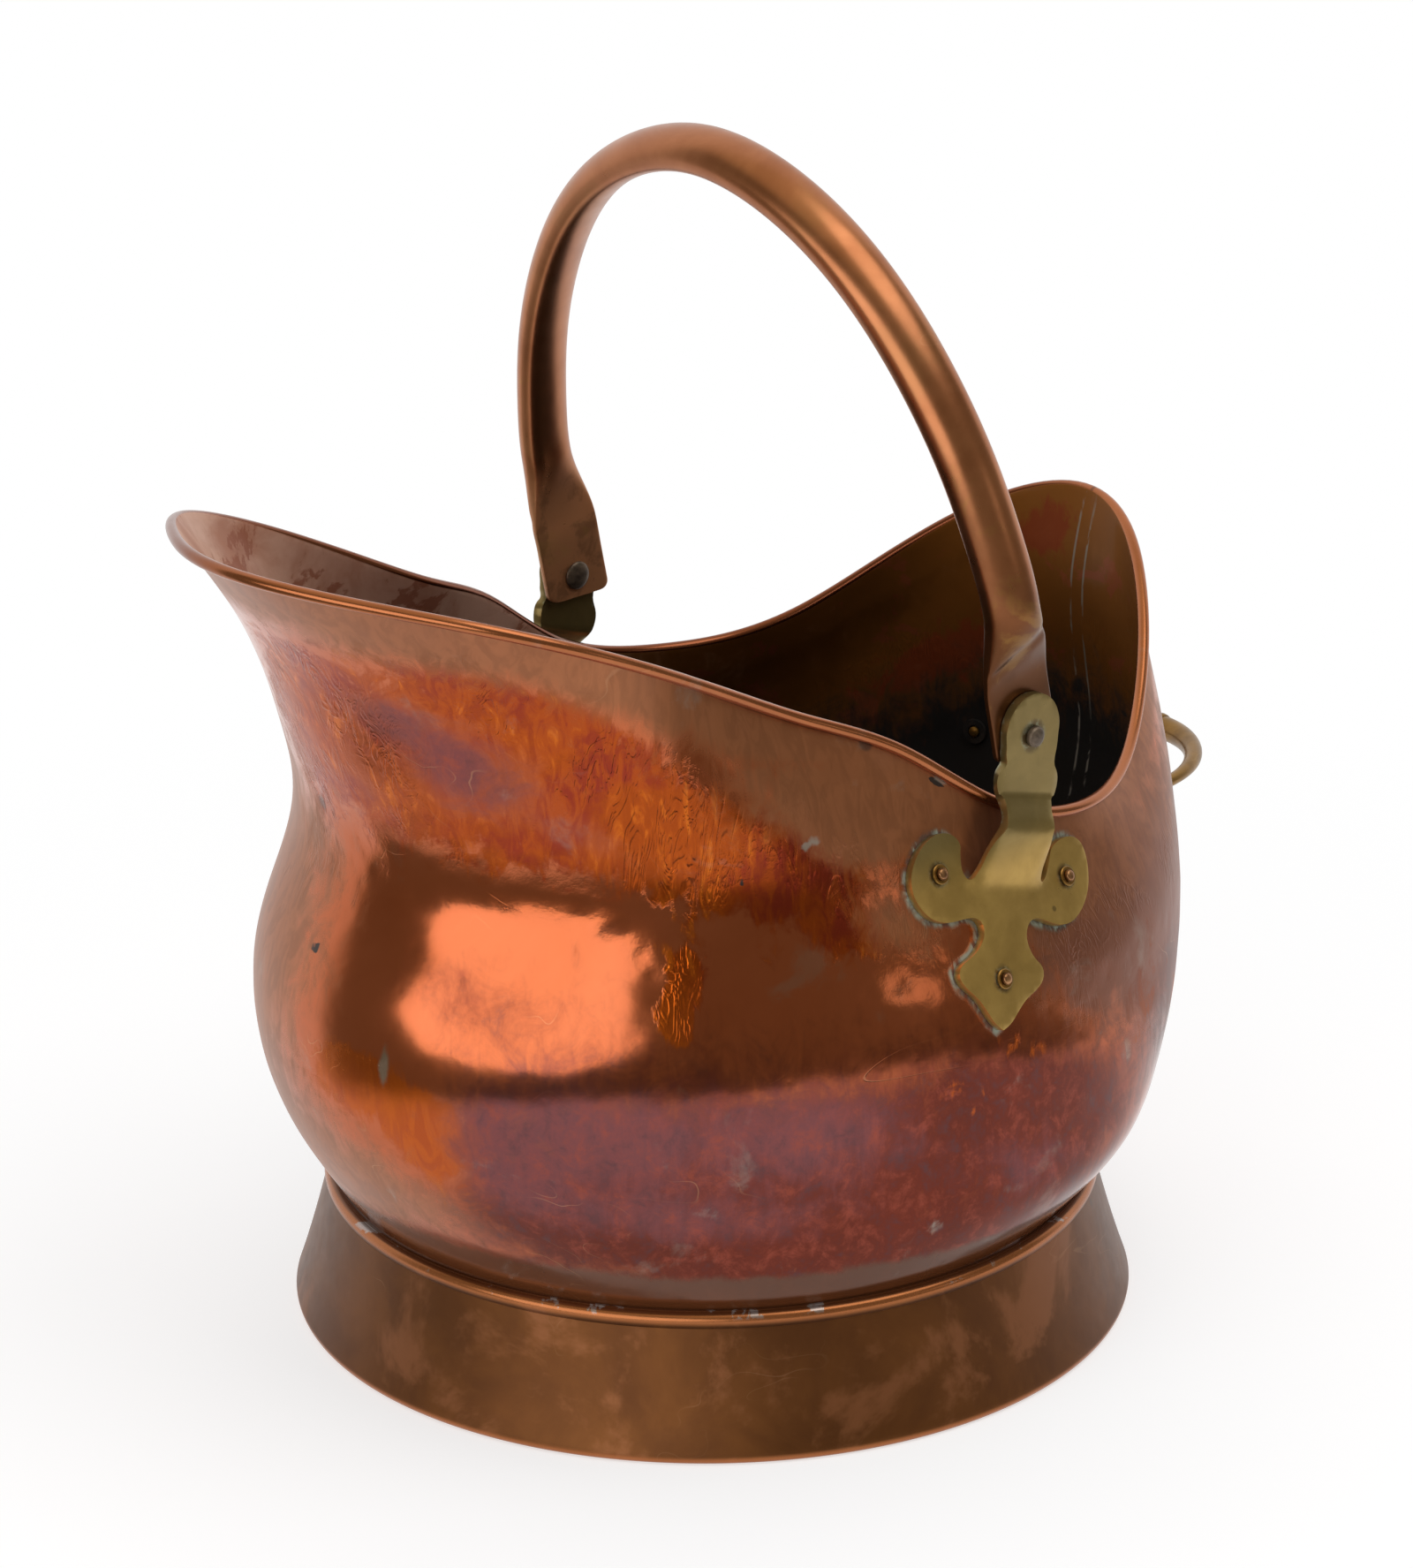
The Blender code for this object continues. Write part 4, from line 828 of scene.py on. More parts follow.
PALE = (
    (63.4, 0.802, 0.8, 0.008, 1.0), (65.0, 0.815, 0.9, 0.008, 1.0), (9, 0.335, 0.8, 0.03, 0.8),
    (5.5, 0.13, 1.1, 0.03, 0.5), (93, 0.985, 1.2, 0.008, 1.0), (48, 0.19, 5, 0.02, 0.35),
    (112, 0.47, 5, 0.04, 0.25), (118, 0.40, 3, 0.06, 0.35), (80, 0.13, 2, 0.02, 0.4),
    (-80, 0.45, 1.5, 0.03, 0.5), (160, 0.35, 2, 0.06, 0.4),
)
DARK = (
    (53, 0.722, 0.8, 0.006, 1.2), (-6, 0.44, 0.8, 0.008, 1.2), (-115, 0.60, 0.9, 0.007, 1.0),
    (170, 0.65, 1.0, 0.008, 1.0), (92, 0.975, 2.0, 0.010, 0.9),
)


def zone(turn, rise, patches):
    """Sum of bell curves, each the exponential of minus the squared distance from the
    patch's middle, counted in its half width in degrees and its half height in rise."""
    total = 0 * turn
    for middle, level, wide, tall, strength in patches:
        away = (np.degrees(turn) - middle + 180) % 360 - 180
        total = total + strength * np.exp(-((away / wide) ** 2) - ((rise - level) / tall) ** 2)
    return np.clip(total, 0.0, 1.0)


ZONES = {"orange": ORANGE, "plum": PLUM, "maroon": MAROON, "satin": SATIN}
ZONES |= {"umber": PAINTED_SHADE, "faded": FADED_AND_LIT, "pale": PALE, "dark": DARK}
for word, patches in ZONES.items():
    give_value(bowl, word, zone(bowl_turn, bowl_rise, patches))
give_value(bowl, "rise", bowl_rise)
give_value(bowl, "inside", inside)

# %% Damp round the ears, which also places painted shadow on the bowl
DAMP_REACH, DAMP_FADE = 0.012, 0.002


def damp(points):
    """The exponential of minus the distance to the nearer ear's outline, counted in the
    fade's length."""
    outline = ear_outline()
    edge = ear_guide(outline[:, 0], outline[:, 1])
    lowest, highest = edge.min(0) - DAMP_REACH, edge.max(0) + DAMP_REACH
    result = np.zeros(len(points))
    for side in (1, -1):
        flipped = points * mirrored(side) - FOOT_MIDDLE
        box = (flipped > lowest).all(1) & (flipped < highest).all(1)
        near = flipped[box]
        gap = np.full(len(near), 1.0)
        for corner in edge:
            gap = np.minimum(gap, np.linalg.norm(near - corner, axis=1))
        result[box] = np.maximum(result[box], np.exp(-gap / DAMP_FADE))
    return result


def mesh_points(piece):
    """All points of a piece as rows of three numbers."""
    flat = np.empty(len(piece.data.vertices) * 3)
    piece.data.vertices.foreach_get("co", flat)
    return flat.reshape(-1, 3)


give_value(bowl, "damp", damp(mesh_points(bowl)))
for ear in ears.values():
    give_value(ear, "damp", damp(mesh_points(ear)))
print("zones are on the bowl and the ears")

# %% [markdown]
# ## Shared effects
# Some marks show on several metals: scratches, specks, hammering and cloudy blotches. Each
# is a small node group with named inputs, because a group is drawn up once and then placed
# in each material. It only puts out a value. A node's output knows which tree it is in, so
# most helpers take only values, and find the tree from them.


# %% Helpers for nodes
def add(tree, kind, wires=None, **settings):
    """Adds a node. Wires give its inputs by name: a plain value, or another's output."""
    node = tree.nodes.new("ShaderNode" + kind)
    for word, value in settings.items():
        setattr(node, word, value)
    for word, value in (wires or {}).items():
        if isinstance(value, bpy.types.NodeSocket):
            tree.links.new(value, node.inputs[word])
        else:
            node.inputs[word].default_value = value
    return node


def wired(kind, wires, **settings):
    """Adds a node to the tree that its wires come from, and gives the node's outputs."""
    tree = next(v.id_data for v in wires.values() if isinstance(v, bpy.types.NodeSocket))
    return add(tree, kind, wires, **settings).outputs


def maths(first, second, third=None, way="MULTIPLY"):
    """One step of arithmetic on numbers: a product, or what the way says."""
    wires = {0: first, 1: second} if third is None else {0: first, 1: second, 2: third}
    return wired("Math", wires, operation=way)[0]


def plus(first, second):
    """First plus second."""
    return maths(first, second, way="ADD")


def minus(first, second):
    """First minus second."""
    return maths(first, second, way="SUBTRACT")


def greater(first, second):
    """The greater of two values."""
    return maths(first, second, way="MAXIMUM")


def scaled(value, amount, base):
    """Value times amount, plus base."""
    return maths(value, amount, base, way="MULTIPLY_ADD")


def size_of(value):
    """The value without its sign."""
    return maths(value, 0.0, way="ABSOLUTE")


def between(value, low, high):
    """Zero below low, one above high, and a soft step between."""
    wires = {"Value": value, "From Min": low, "From Max": high}
    return wired("MapRange", wires, interpolation_type="SMOOTHSTEP")[0]


def blend(share, first, second):
    """Goes from the first colour to the second by the share."""
    wires = {0: share, 6: first, 7: second}
    for word in (6, 7):
        if isinstance(wires[word], tuple):
            wires[word] = (*wires[word], 1.0)
    return wired("Mix", wires, data_type="RGBA")[2]


def layer(colour, mask, amount, top):
    """Lays a second colour over the first, by the mask times the amount."""
    return blend(maths(mask, amount), colour, top)


def axes(place):
    """The three numbers of a place."""
    return wired("SeparateXYZ", {0: place})


def noise(place, scale, detail=3.0, rough=0.55, twist=0.0):
    """Cloudy noise from zero to one, with this many features to a metre."""
    wires = {"Vector": place, "Scale": scale, "Detail": detail}
    return wired("TexNoise", {**wires, "Roughness": rough, "Distortion": twist})[0]


def field(tree, word):
    """One of the numbers stored on a piece's points."""
    return add(tree, "Attribute", attribute_name=word).outputs["Fac"]


def effect(name, inputs, output):
    """An empty node group with number inputs, a place, and one number as its output."""
    tree = bpy.data.node_groups.new(name, "ShaderNodeTree")
    tree.interface.new_socket("Place", in_out="INPUT", socket_type="NodeSocketVector")
    for word, value in inputs.items():
        socket = tree.interface.new_socket(word, in_out="INPUT", socket_type="NodeSocketFloat")
        socket.default_value = value
    tree.interface.new_socket(output, in_out="OUTPUT", socket_type="NodeSocketFloat")
    given, end = (tree.nodes.new("NodeGroup" + word) for word in ("Input", "Output"))
    return tree, given.outputs, end.inputs[0]


def placed(group, place, **values):
    """Puts an effect with its own values into the place's tree, and gives its output."""
    return wired("Group", {"Place": place, **values}, node_tree=group)[0]


# %% Scratches and specks
scratches, given, out = effect("fine_scratches", {"Size": 60.0, "Amount": 0.5}, "Mask")
total = 0.0
for turn, tall in ((0.5, 0.04), (-0.8, 0.06), (1.9, 0.03)):
    wires = {"Vector": given["Place"], "Rotation": (turn, turn * 0.7, turn * 1.3)}
    turned = wired("Mapping", {**wires, "Scale": (1.0, tall, 1.0)})[0]
    wave = noise(turned, given["Size"], 1.0, 0.4, 0.3)
    line = between(size_of(minus(wave, 0.5)), 0.006, 0.0015)
    rare = noise(turned, 23.0, 2.0)
    rare = between(rare, minus(0.78, maths(given["Amount"], 0.3)), 0.8)
    total = greater(maths(line, rare), total)
scratches.links.new(total, out)

specks, given, out = effect("dark_specks", {"Size": 60.0, "Share": 0.1}, "Mask")
cells = wired("TexVoronoi", {"Vector": given["Place"], "Scale": given["Size"]})
shade = wired("SeparateColor", {0: cells["Color"]})
wide = maths(shade[1], 0.22)
dot = between(cells["Distance"], wide, maths(wide, 0.6))
chosen = between(shade[0], given["Share"], maths(given["Share"], 0.9))
specks.links.new(maths(dot, chosen), out)

# %% Hammering and blotches
hammering, given, out = effect("hammering", {"Size": 110.0, "Fine": 0.3}, "Height")
shift = wired("TexNoise", {"Vector": given["Place"], "Scale": 60.0, "Detail": 1.0})["Color"]
shift = wired("VectorMath", {0: shift, "Scale": 0.008}, operation="SCALE")[0]
bent = wired("VectorMath", {0: given["Place"], 1: shift}, operation="ADD")[0]
wires = {"Vector": bent, "Scale": given["Size"], "Smoothness": 1.0}
marks = wired("TexVoronoi", wires, feature="SMOOTH_F1")["Distance"]
rough = noise(given["Place"], 420.0, 3.0, 0.6)
hammering.links.new(scaled(rough, given["Fine"], marks), out)

blotches, given, out = effect("blotches", {"Size": 30.0, "Level": 0.5, "Soft": 0.05}, "Mask")
cloud = noise(given["Place"], given["Size"], 6.0, 0.62, 0.4)
high = plus(given["Level"], given["Soft"])
blotches.links.new(between(cloud, given["Level"], high), out)
print("effects:", [group.name for group in bpy.data.node_groups])


# %% [markdown]
# ## Beaten copper
# The bowl's material goes from the ground colour up, as the stains did on the real one:
# copper, then maroon and plum heat tints, then flames with lighter flakes, then brown
# satin, then soot inside. Roughness follows the same zones, so the belly stays a mirror.


# %% Copper of the bowl
def metal(name, roughness, metallic=1.0):
    """A new material: its tree, its shader and the place in object coordinates."""
    material = bpy.data.materials.new(name)
    material.use_nodes = True
    tree = material.node_tree
    shader = tree.nodes["Principled BSDF"]
    shader.inputs["Roughness"].default_value = roughness
    shader.inputs["Metallic"].default_value = metallic
    return material, tree, shader, tree.nodes.new("ShaderNodeTexCoord").outputs["Object"]


def surface(shader, colour, gloss, height, depth):
    """Gives the shader its colour and its roughness, and bends its normal by a height of
    this depth in metres."""
    bump = wired("Bump", {"Height": height, "Strength": 1.0, "Distance": depth})[0]
    for word, value in (("Base Color", colour), ("Roughness", gloss), ("Normal", bump)):
        shader.id_data.links.new(value, shader.inputs[word])


def dress(piece, *materials):
    """Gives a piece its material or materials."""
    piece.data.materials.clear()
    for material in materials:
        piece.data.materials.append(material)


copper, tree, shader, place = metal("beaten_copper", 0.12)
shader.inputs["Coat Weight"].default_value = 0.12
shader.inputs["Coat Roughness"].default_value = 0.15
rise, damp_and_shadow = field(tree, "rise"), field(tree, "damp")
roll = between(rise, 1.0005, 1.004)
inner = maths(field(tree, "inside"), minus(1.0, roll))
streaks = wired("Mapping", {"Vector": place, "Scale": (1.0, 1.0, 0.28)})[0]
cloud = noise(place, 26.0, 6.0, 0.6, 0.5)
grain = noise(streaks, 190.0, 4.0, 0.6, 1.2)
fray = plus(noise(place, 75.0, 6.0, 0.68, 0.8), maths(grain, 0.5))
fray = minus(fray, 0.75)


def frayed(word, low, high, amount=1.1):
    """A zone with its edge moved by noise, then cut to a soft step."""
    return between(scaled(fray, amount, field(tree, word)), low, high)


colour = blend(cloud, (0.42, 0.096, 0.030), (0.56, 0.155, 0.066))
maroon = frayed("maroon", 0.10, 0.95, 0.9)
colour = blend(maroon, colour, blend(cloud, (0.085, 0.020, 0.013), (0.19, 0.034, 0.018)))
plum = frayed("plum", 0.15, 1.05, 1.0)
colour = blend(plum, colour, blend(grain, (0.13, 0.058, 0.066), (0.25, 0.064, 0.056)))
flecks = noise(place, 120.0, 7.0, 0.72, 0.3)
stained = greater(plum, maroon)
light_flecks = maths(between(flecks, 0.48, 0.72), 0.65)
colour = layer(colour, stained, light_flecks, (0.32, 0.070, 0.042))
dark_flecks = maths(between(flecks, 0.50, 0.28), 0.7)
colour = layer(colour, stained, dark_flecks, (0.095, 0.046, 0.050))
orange = frayed("orange", 0.30, 0.62, 1.5)
fire = blend(between(cloud, 0.40, 0.60), (0.28, 0.034, 0.014), (0.36, 0.062, 0.006))
fire = layer(fire, between(grain, 0.42, 0.60), 0.6, (0.46, 0.085, 0.008))
flakes = between(plus(grain, maths(cloud, 0.6)), 0.90, 1.04)
low_fire = maths(between(rise, 0.60, 0.45), 0.35)
fire = blend(greater(maths(flakes, 0.7), low_fire), fire, (0.64, 0.15, 0.013))
orange = maths(orange, minus(1.0, maths(plum, 0.85)))
colour = blend(orange, colour, fire)
band = between(scaled(fray, 0.07, rise), 0.88, 0.94)
satin = greater(frayed("satin", 0.15, 0.80), band)
satin = maths(satin, scaled(roll, -0.7, 1.0))
brown = blend(cloud, (0.27, 0.098, 0.038), (0.44, 0.170, 0.070))
brown = layer(brown, between(grain, 0.40, 0.62), 0.4, (0.19, 0.075, 0.030))
# Painted shade: a darker brown laid over the satin in the painted shade zones.
umber = blend(cloud, (0.12, 0.042, 0.020), (0.24, 0.085, 0.045))
brown = blend(frayed("umber", 0.1, 0.9, 0.8), brown, umber)
worn = maths(satin, scaled(maroon, -0.45, 0.90))
colour = blend(worn, colour, brown)

# %% Rim with painted shade, a painted dark reflection at the heel, marks, and damp with painted shadow
across, back, _ = axes(place)
hem = blend(cloud, (0.28, 0.090, 0.032), (0.50, 0.175, 0.065))
# Painted shade: the rolled rim is made darker on its far side, towards minus X.
shaded_far_side = between(across, 0.02, -0.03)
hem = layer(hem, shaded_far_side, 0.8, (0.13, 0.036, 0.016))
colour = layer(colour, roll, 0.85, hem)
# Painted reflection: a dark brown band low on the belly stands for the dark reflection of the foot
# and of the floor's shadow.
dark_reflection = between(scaled(fray, 0.03, rise), 0.075, 0.055)
colour = layer(colour, dark_reflection, 0.9, (0.10, 0.034, 0.011))
marks = placed(scratches, place, Size=70.0, Amount=0.55)
colour = layer(colour, marks, 0.5, (0.75, 0.42, 0.22))
dots = placed(specks, place, Size=45.0, Share=0.05)
dots = greater(maths(dots, 0.6), frayed("dark", 0.45, 0.55, 0.5))
colour = blend(dots, colour, (0.05, 0.035, 0.03))
bloom = placed(blotches, place, Size=38.0, Level=0.60, Soft=0.12)
pale = greater(maths(bloom, 0.22), maths(frayed("pale", 0.25, 0.65, 0.8), 0.75))
colour = blend(pale, colour, (0.36, 0.33, 0.28))
# Damp crust with painted shadow: its dark parts stand for the shade in the gap along each ear's
# edge, and its green is verdigris.
crust = between(scaled(fray, 0.5, damp_and_shadow), 0.30, 0.75)
stain = blend(between(grain, 0.42, 0.62), (0.05, 0.036, 0.028), (0.33, 0.42, 0.34))
colour = layer(colour, crust, 0.8, stain)
lap = between(size_of(plus(across, -0.0045)), 0.0009, 0.0003)
lap = maths(lap, between(back, 0.08, 0.10))
colour = layer(colour, lap, 0.6, (0.10, 0.045, 0.025))

# %% The bowl's inside
lining = blend(cloud, (0.19, 0.066, 0.008), (0.33, 0.116, 0.016))
lining = layer(lining, orange, 0.75, (0.30, 0.050, 0.016))
lining = layer(lining, dots, 0.8, (0.03, 0.02, 0.015))
soot = between(scaled(fray, 0.30, rise), 0.76, 0.56)
# Pale pinkish lining: partly faded patina, partly painted light where the inside of the lip faces
# up.
faded = frayed("faded", 0.1, 0.9, 0.8)
chalky_and_lit = blend(between(cloud, 0.36, 0.60), (0.54, 0.240, 0.150), (0.76, 0.450, 0.330))
lining = layer(lining, faded, 0.9, chalky_and_lit)
rust = placed(blotches, place, Size=60.0, Level=0.56, Soft=0.05)
lining = layer(lining, rust, 0.7, (0.34, 0.085, 0.032))
lining = blend(soot, lining, (0.012, 0.010, 0.010))
ridge = size_of(plus(across, -0.0050))
ridge = maths(between(ridge, 0.0034, 0.0028), between(ridge, 0.0020, 0.0026))
ridge = maths(ridge, between(back, 0.08, 0.10))
ridge = maths(ridge, between(grain, 0.44, 0.58))
lining = layer(lining, ridge, 0.8, (0.34, 0.31, 0.26))
colour = blend(inner, colour, lining)

# %% The bowl's gloss and relief
gloss = 0.11
shares = (satin, 0.26), (orange, 0.10), (cloud, 0.08), (crust, 0.4), (inner, 0.22)
for mask, amount in (*shares, (maths(inner, soot), 0.25)):
    gloss = scaled(mask, amount, gloss)
dull = scaled(greater(soot, faded), 0.55, 0.22)
dull = greater(maths(inner, dull), maths(crust, 0.9))
dull = greater(maths(satin, 0.22), dull)
dull = greater(maths(dark_reflection, 0.65), dull)
tree.links.new(minus(1.0, dull), shader.inputs["Metallic"])
wavy = minus(noise(streaks, 150.0, 2.0, 0.5, 2.6), 0.5)
wrinkles = between(size_of(wavy), 0.11, 0.0)
wrinkles = maths(wrinkles, between(rise, 0.44, 0.54))
folded = maths(maths(satin, 0.6), between(rise, 0.84, 0.76))
patchy = placed(blotches, place, Size=24.0, Level=0.44, Soft=0.2)
wrinkles = maths(wrinkles, maths(greater(orange, folded), patchy))
belt = maths(between(rise, 0.52, 0.57), between(rise, 0.68, 0.63))
beaten = placed(hammering, place, Size=115.0, Fine=0.10)
beaten = maths(beaten, scaled(belt, 0.9, 0.35))
height = scaled(wrinkles, 0.50, beaten)
height = scaled(marks, -0.15, height)
surface(shader, colour, gloss, height, 0.00030)
dress(bowl, copper)

# %% [markdown]
# ## Brown copper of the foot and the bail
# The foot and the bail were never polished like the belly. They have an even brown satin
# with cloudy stains, brighter on the rolled edge and wherever hands rub, and on the bead,
# where the lighter top is partly rubbed and partly a painted highlight.


# %% Satin copper
def satin_copper(name, dark, light, stain, roughness, metallic=1.0):
    """Two browns mixed by cloudy noise, reddish stains, fine scratches and dark specks,
    with a roughness and a beaten height that a caller can still change."""
    material, tree, shader, place = metal(name, roughness, metallic)
    cloud = noise(place, 32.0, 6.0, 0.6, 0.5)
    colour = blend(between(cloud, 0.3, 0.7), dark, light)
    stained = placed(blotches, place, Size=18.0, Level=0.53, Soft=0.09)
    colour = blend(stained, colour, stain)
    marks = placed(scratches, place, Size=80.0, Amount=0.5)
    colour = layer(colour, marks, 0.35, (0.7, 0.4, 0.22))
    dots = placed(specks, place, Size=70.0, Share=0.05)
    colour = layer(colour, dots, 0.6, (0.05, 0.03, 0.022))
    fine = noise(place, 160.0, 4.0, 0.6)
    gloss = scaled(fine, 0.14, roughness - 0.07)
    beaten = placed(hammering, place, Size=90.0, Fine=0.12)
    return material, tree, shader, place, colour, gloss, beaten


# %% Copper of the foot
FINE_RELIEF = 0.00006
BEAD_FROM, BEAD_FULL, BEAD_LAST, BEAD_TO = 0.0398, 0.0415, 0.0430, 0.0436
JOINT_FROM, JOINT_TO = 0.0428, 0.0434
SOLDER_FROM, SOLDER_TO = 0.0416, 0.0428
HEM_FROM, HEM_TO = 0.0030, 0.0016
browns = (0.100, 0.032, 0.006), (0.150, 0.051, 0.010), (0.21, 0.076, 0.026)
made = satin_copper("foot_copper", *browns, 0.41, 0.76)
foot_copper, tree, shader, place, colour, gloss, beaten = made
tall = axes(place)[2]
# Rubbed wear and painted highlight: the rolled hem is lighter from wear, and the bead's top is
# lighter as a painted highlight.
over, under = between(tall, BEAD_FROM, BEAD_FULL), between(tall, BEAD_TO, BEAD_LAST)
rubbed_and_highlight = greater(maths(over, under), between(tall, HEM_FROM, HEM_TO))
colour = layer(colour, rubbed_and_highlight, 0.6, (0.52, 0.175, 0.058))
gloss = scaled(rubbed_and_highlight, -0.16, gloss)
joint = between(tall, JOINT_FROM, JOINT_TO)
colour = layer(colour, joint, 0.85, (0.19, 0.068, 0.024))
solder = placed(blotches, place, Size=120.0, Level=0.59, Soft=0.02)
solder = maths(solder, between(tall, SOLDER_FROM, SOLDER_TO))
colour = layer(colour, solder, 0.6, (0.42, 0.42, 0.42))
surface(shader, colour, gloss, beaten, FINE_RELIEF)
dress(foot, foot_copper)

# %% Copper of the bail
browns = (0.355, 0.130, 0.055), (0.465, 0.184, 0.082), (0.41, 0.168, 0.072)
made = satin_copper("bail_copper", *browns, 0.30)
bail_copper, tree, shader, place, colour, gloss, beaten = made
up = field(tree, "rise")
end = between(up, 0.046, 0.022)
side = between(axes(place)[0], -0.02, 0.02)
# Painted light and shade: the strap end on the far side is painted light and the one on the near
# side dark.
strap = blend(side, (0.52, 0.23, 0.10), (0.13, 0.046, 0.013))
colour = layer(colour, end, 0.75, strap)
dirt = maths(end, placed(blotches, place, Size=90.0, Level=0.50, Soft=0.12))
colour = layer(colour, dirt, 0.45, (0.12, 0.055, 0.025))
# Painted shade: the lower part of the near leg is darkened further.
near_end_shade = maths(between(up, 0.060, 0.030), side)
colour = layer(colour, near_end_shade, 0.85, (0.10, 0.036, 0.012))
yellow = placed(blotches, place, Size=40.0, Level=0.55, Soft=0.08)
yellow = maths(yellow, between(up, 0.14, 0.05))
colour = layer(colour, yellow, 0.25, (0.42, 0.24, 0.06))
tree.links.new(scaled(end, scaled(side, 0.35, -0.50), 0.96), shader.inputs["Metallic"])
surface(shader, colour, gloss, beaten, FINE_RELIEF)
dress(bail, bail_copper)

# %% [markdown]
# ## Old brass and iron
# Cast brass turns to a greenish brown satin, and stays golden where its edges are rubbed;
# the lighter filed edges of the ears are also a painted highlight.
# Damp collects along an edge that lies on copper, and leaves a dark line with pale green.


# %% Brass and iron
RIVET_RING, PIN_RING = 0.0042, 0.0058
studs = []
for across, down in EAR_RIVETS:
    wide, back, height = rivet_frame(across * EAR_DROP, down * EAR_DROP, 1)[0]
    studs.append((wide, back + FOOT_BACK, height, RIVET_RING))
studs.append((BAIL_HALF_WIDTH, PIVOT_BACK + FOOT_BACK, PIVOT_HEIGHT, PIN_RING))


def old_brass(name, dark, light, crusted):
    """Brass browns by cloudy noise. On an ear, damp leaves a dark and green line along the
    outline and rings round the rivets: rings of distance from each, mirrored in X."""
    material, tree, shader, place = metal(name, 0.30, 0.75)
    cloud = noise(place, 55.0, 6.0, 0.6, 0.4)
    colour = blend(between(cloud, 0.3, 0.7), dark, light)
    marks = placed(scratches, place, Size=110.0, Amount=0.7)
    colour = layer(colour, marks, 0.4, (0.8, 0.66, 0.32))
    dots = placed(specks, place, Size=160.0, Share=0.10)
    colour = layer(colour, dots, 0.6, (0.09, 0.06, 0.02))
    fray = noise(place, 330.0, 4.0, 0.6)
    if crusted:
        tab = between(axes(place)[2], 0.160, 0.176)
        grey = blend(cloud, (0.12, 0.092, 0.034), (0.21, 0.168, 0.072))
        colour = layer(colour, tab, 0.75, grey)
        edge = scaled(minus(fray, 0.5), 0.9, field(tree, "damp"))
        crust = maths(between(edge, 0.62, 0.95), 0.5)
        sides = axes(wired("VectorMath", {0: place}, operation="ABSOLUTE")[0])
        _, back, high = axes(place)
        folded = wired("CombineXYZ", {0: sides[0], 1: back, 2: high})[0]
        grime = 0.0
        for *stud, wide in studs:
            away = wired("VectorMath", {0: folded, 1: stud}, operation="DISTANCE")["Value"]
            away = scaled(fray, 0.0016, away)
            ring = between(away, wide + 0.0022, wide + 0.0004)
            grime = greater(ring, grime)
            rim = maths(ring, between(away, wide - 0.0004, wide + 0.0008))
            crust = greater(maths(rim, 0.55), crust)
        colour = layer(colour, grime, 0.55, (0.12, 0.075, 0.032))
        stain = blend(between(fray, 0.45, 0.60), (0.07, 0.05, 0.03), (0.38, 0.44, 0.33))
        colour = blend(crust, colour, stain)
    beaten = placed(hammering, place, Size=160.0, Fine=0.4)
    surface(shader, colour, scaled(fray, 0.16, 0.23), beaten, FINE_RELIEF)
    return material


def dark_metal(name, dark, light, roughness, metallic):
    """A dark metal with cloudy rust or soot and a fine rough skin."""
    material, tree, shader, place = metal(name, roughness, metallic)
    cloud = noise(place, 220.0, 5.0, 0.6)
    colour = blend(between(cloud, 0.35, 0.65), dark, light)
    surface(shader, colour, scaled(cloud, 0.2, roughness - 0.1), cloud, 0.0002)
    return material


ear_brass = old_brass("ear_brass", (0.38, 0.235, 0.062), (0.52, 0.330, 0.092), True)
# Lighter brass on the ears' filed edges: rubbed wear and a painted edge highlight.
rubbed_and_highlit_brass = old_brass("rubbed_and_highlit_brass", (0.50, 0.33, 0.09), (0.66, 0.45, 0.14), False)
small_brass = old_brass("small_brass", (0.17, 0.085, 0.016), (0.30, 0.155, 0.030), False)
iron = dark_metal("pin_iron", (0.060, 0.040, 0.028), (0.17, 0.125, 0.090), 0.42, 0.7)
soot_black = dark_metal("sooted_copper", (0.008, 0.007, 0.007), (0.030, 0.020, 0.015), 0.75, 0.2)
stub = dark_metal("stub_copper", (0.20, 0.095, 0.045), (0.46, 0.24, 0.11), 0.35, 1.0)
for ear in ears.values():
    dress(ear, ear_brass, rubbed_and_highlit_brass)
dress(grip, small_brass)
by_slot = {"copper": stub, "brass": small_brass, "iron": iron}
for piece, node, slot in fittings:
    dress(piece, soot_black if node.endswith("grip_burr") else by_slot[slot])
for node, material in (("floor_pan", soot_black), ("rim_wire", iron), ("foot_wire", iron)):
    for place in bpy.data.objects[node].material_slots:
        place.material = material
print("materials:", [material.name for material in bpy.data.materials])

# %% [markdown]
# # The studio
# Polished metal shows the room it stands in. Here that is a pale floor, white paper
# behind, a dim and slightly warm room behind the camera, and one wide soft lamp to the left
# of it. So the belly gets a dark band with a bright patch, and everything else plain white
# light. A weaker lamp stands overhead, and a small one lights the side towards the grip.

# %% Floor
def disc(name, radius, rings=40, sides=96):
    """Rings of points from the middle out, all at height zero."""
    angles = full_turn(sides)
    reach = np.linspace(0.0, 1.0, rings)[1:] ** 2 * radius
    circle = np.stack([np.cos(angles), np.sin(angles), 0 * angles], -1)
    around = (reach[:, None, None] * circle).reshape(-1, 3)
    ring = 1 + np.arange(len(reach) * sides).reshape(-1, sides)
    after = np.roll(ring, -1, 1)
    quads = np.stack([ring[:-1], ring[1:], after[1:], after[:-1]], -1).reshape(-1, 4)
    middle = np.stack([np.zeros(sides, int), ring[0], after[0]], -1)
    return mesh_piece(name, np.concatenate([[[0, 0, 0]], around]), middle.tolist() + quads.tolist())


NEAR_RADIUS, FAR_RADIUS = 0.22, 0.60
FLOOR_MIDDLE, FLOOR_FROM, FLOOR_TO = (0.226, 0.106), 0.50, 0.60
floor = disc("floor", 9.0)
paper = bpy.data.materials.new("pale_paper")
paper.use_nodes = True
tree = paper.node_tree
tree.nodes.clear()
place = add(tree, "TexCoord").outputs["Object"]
across, back, _ = axes(place)


